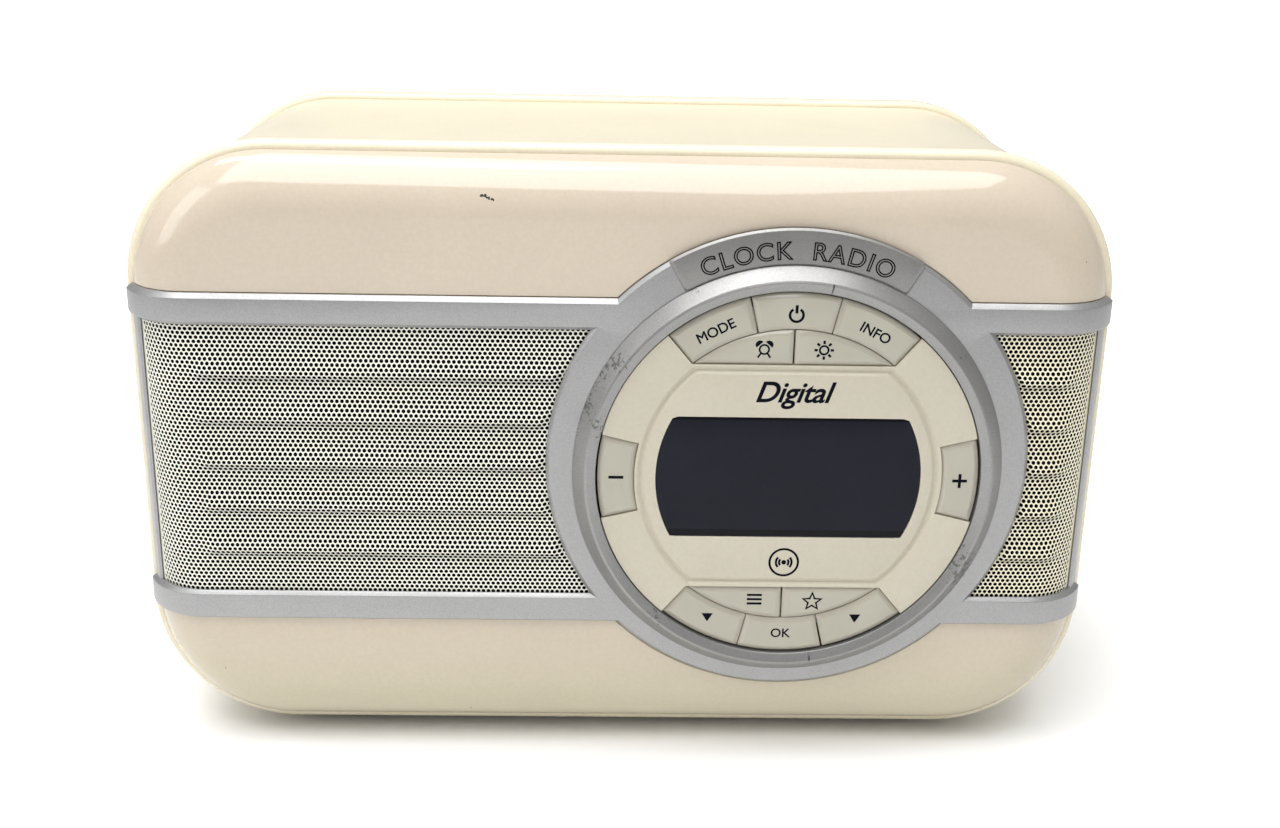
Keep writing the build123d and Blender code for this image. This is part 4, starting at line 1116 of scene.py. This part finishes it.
# ------------------------------------ build
front_shell()
cabinet()
rear_shell()
trim_frame()
grille(-1, "left", grille_paint)
grille(1, "right", grille_aged)
dial_ring()
label_plate()
dial_panel()
display_window()
for key_name, key_sides in KEYS.items():
    key_cap(key_name, key_sides)
legends()


# ------------------------------------ stage
FLOOR_HALF = 6.0                # metres, as is all of the stage
SHADOW_TO, GLOW_FROM = 0.09, 0.2
FLOOR_GLOW = 0.7                # painted glow, seen only by the camera: the paper is white out to the horizon


def stage():
    mesh = bpy.data.meshes.new("floor")
    corners = [(x * FLOOR_HALF, y * FLOOR_HALF, 0) for x, y in ((-1, -1), (1, -1), (1, 1), (-1, 1))]
    mesh.from_pydata(corners, [], [(0, 1, 2, 3)])
    floor = linked("floor", mesh)
    material, tree, shader, place = node_material("floor_white")
    seen = add_node(tree, "LightPath", {}, "Is Camera Ray")
    squeeze = {"Vector": place, "Scale": (0.62, 1.0, 1.0)}      # the radio is wider than deep
    away = length_of(tree, add_node(tree, "Mapping", squeeze))
    # Painted light: the floor's camera-only glow rises from nothing at SHADOW_TO to FLOOR_GLOW at
    # GLOW_FROM, which keeps the soft shadow close round the radio.
    span = {"Value": away, "From Min": SHADOW_TO, "From Max": GLOW_FROM, "To Max": FLOOR_GLOW}
    glow = add_node(tree, "MapRange", span, "Result")
    feed(tree, shader, {
        "Base Color": ramp(tree, noise(tree, place, 3.0, 2.0), (0.3, 0.93), (0.7, 0.95)),
        "Roughness": 0.9, "Emission Color": WHITE,
        "Emission Strength": math_node(tree, "MULTIPLY", seen, glow)})
    mesh.materials.append(material)


def area_light(name, place, aim, width, depth, power):
    light = bpy.data.lights.new(name, "AREA")
    light.shape = "RECTANGLE"
    light.size = width
    light.size_y = depth
    light.energy = power
    holder = linked(name, light)
    holder.location = place
    holder.rotation_euler = (Vector(aim) - Vector(place)).to_track_quat("-Z", "Y").to_euler()


def lights():
    """Soft boxes, and a dim surround that is brighter towards the zenith."""
    world = bpy.data.worlds.new("studio")
    bpy.context.scene.world = world
    world.use_nodes = True
    tree = world.node_tree
    height = height_of(tree, add_node(tree, "TexCoord", {}, "Generated"))
    glow = ramp(tree, height, (0.0, 0.38), (0.35, 0.4), (1.0, 0.75))
    seen = add_node(tree, "LightPath", {}, "Is Camera Ray")
    feed(tree, tree.nodes["Background"], {"Color": mix(tree, seen, glow, WHITE)})
    area_light("softbox_top", (-0.1, -0.3, 1.1), (0.0, -0.1, 0.1), 1.1, 1.0, 11.5)
    area_light("strip_left", (-0.35, 0.1, 1.05), (-0.1, -0.06, 0.17), 0.12, 0.85, 2.4)
    area_light("softbox_left", (-1.2, -0.5, 0.7), (0.0, 0.0, 0.1), 0.5, 0.8, 2.5)


# The camera's place is measured from the middle of the trim's front face on the dial's axis.
CAMERA_FROM_DIAL = Vector((-51.4, -401.7, 151.7))
CAMERA_TURNS = (18.43, 1.33, 1.11)      # pitch, yaw and roll in degrees
CAMERA_LENS = 42.59


def camera():
    data = bpy.data.cameras.new("camera")
    data.lens = CAMERA_LENS
    data.sensor_width = 36.0
    data.clip_start = 0.01
    data.clip_end = 50.0
    holder = linked("camera", data)
    pitch, yaw, roll = (math.radians(a) for a in CAMERA_TURNS)
    ahead = Vector((math.sin(yaw) * math.cos(pitch), math.cos(yaw) * math.cos(pitch), -math.sin(pitch)))
    level = Vector((math.cos(yaw), -math.sin(yaw), 0.0))
    upright = level.cross(ahead)
    right = level * math.cos(roll) + upright * math.sin(roll)
    up = upright * math.cos(roll) - level * math.sin(roll)
    axes = Matrix((right, up, -ahead)).transposed().to_4x4()
    place = (Vector((DIAL_X, FACE_Y, DIAL_Z)) + CAMERA_FROM_DIAL) * MM
    holder.matrix_world = Matrix.Translation(place) @ axes
    bpy.context.scene.camera = holder


stage()
lights()
camera()
bpy.context.scene.view_settings.view_transform = "Standard"
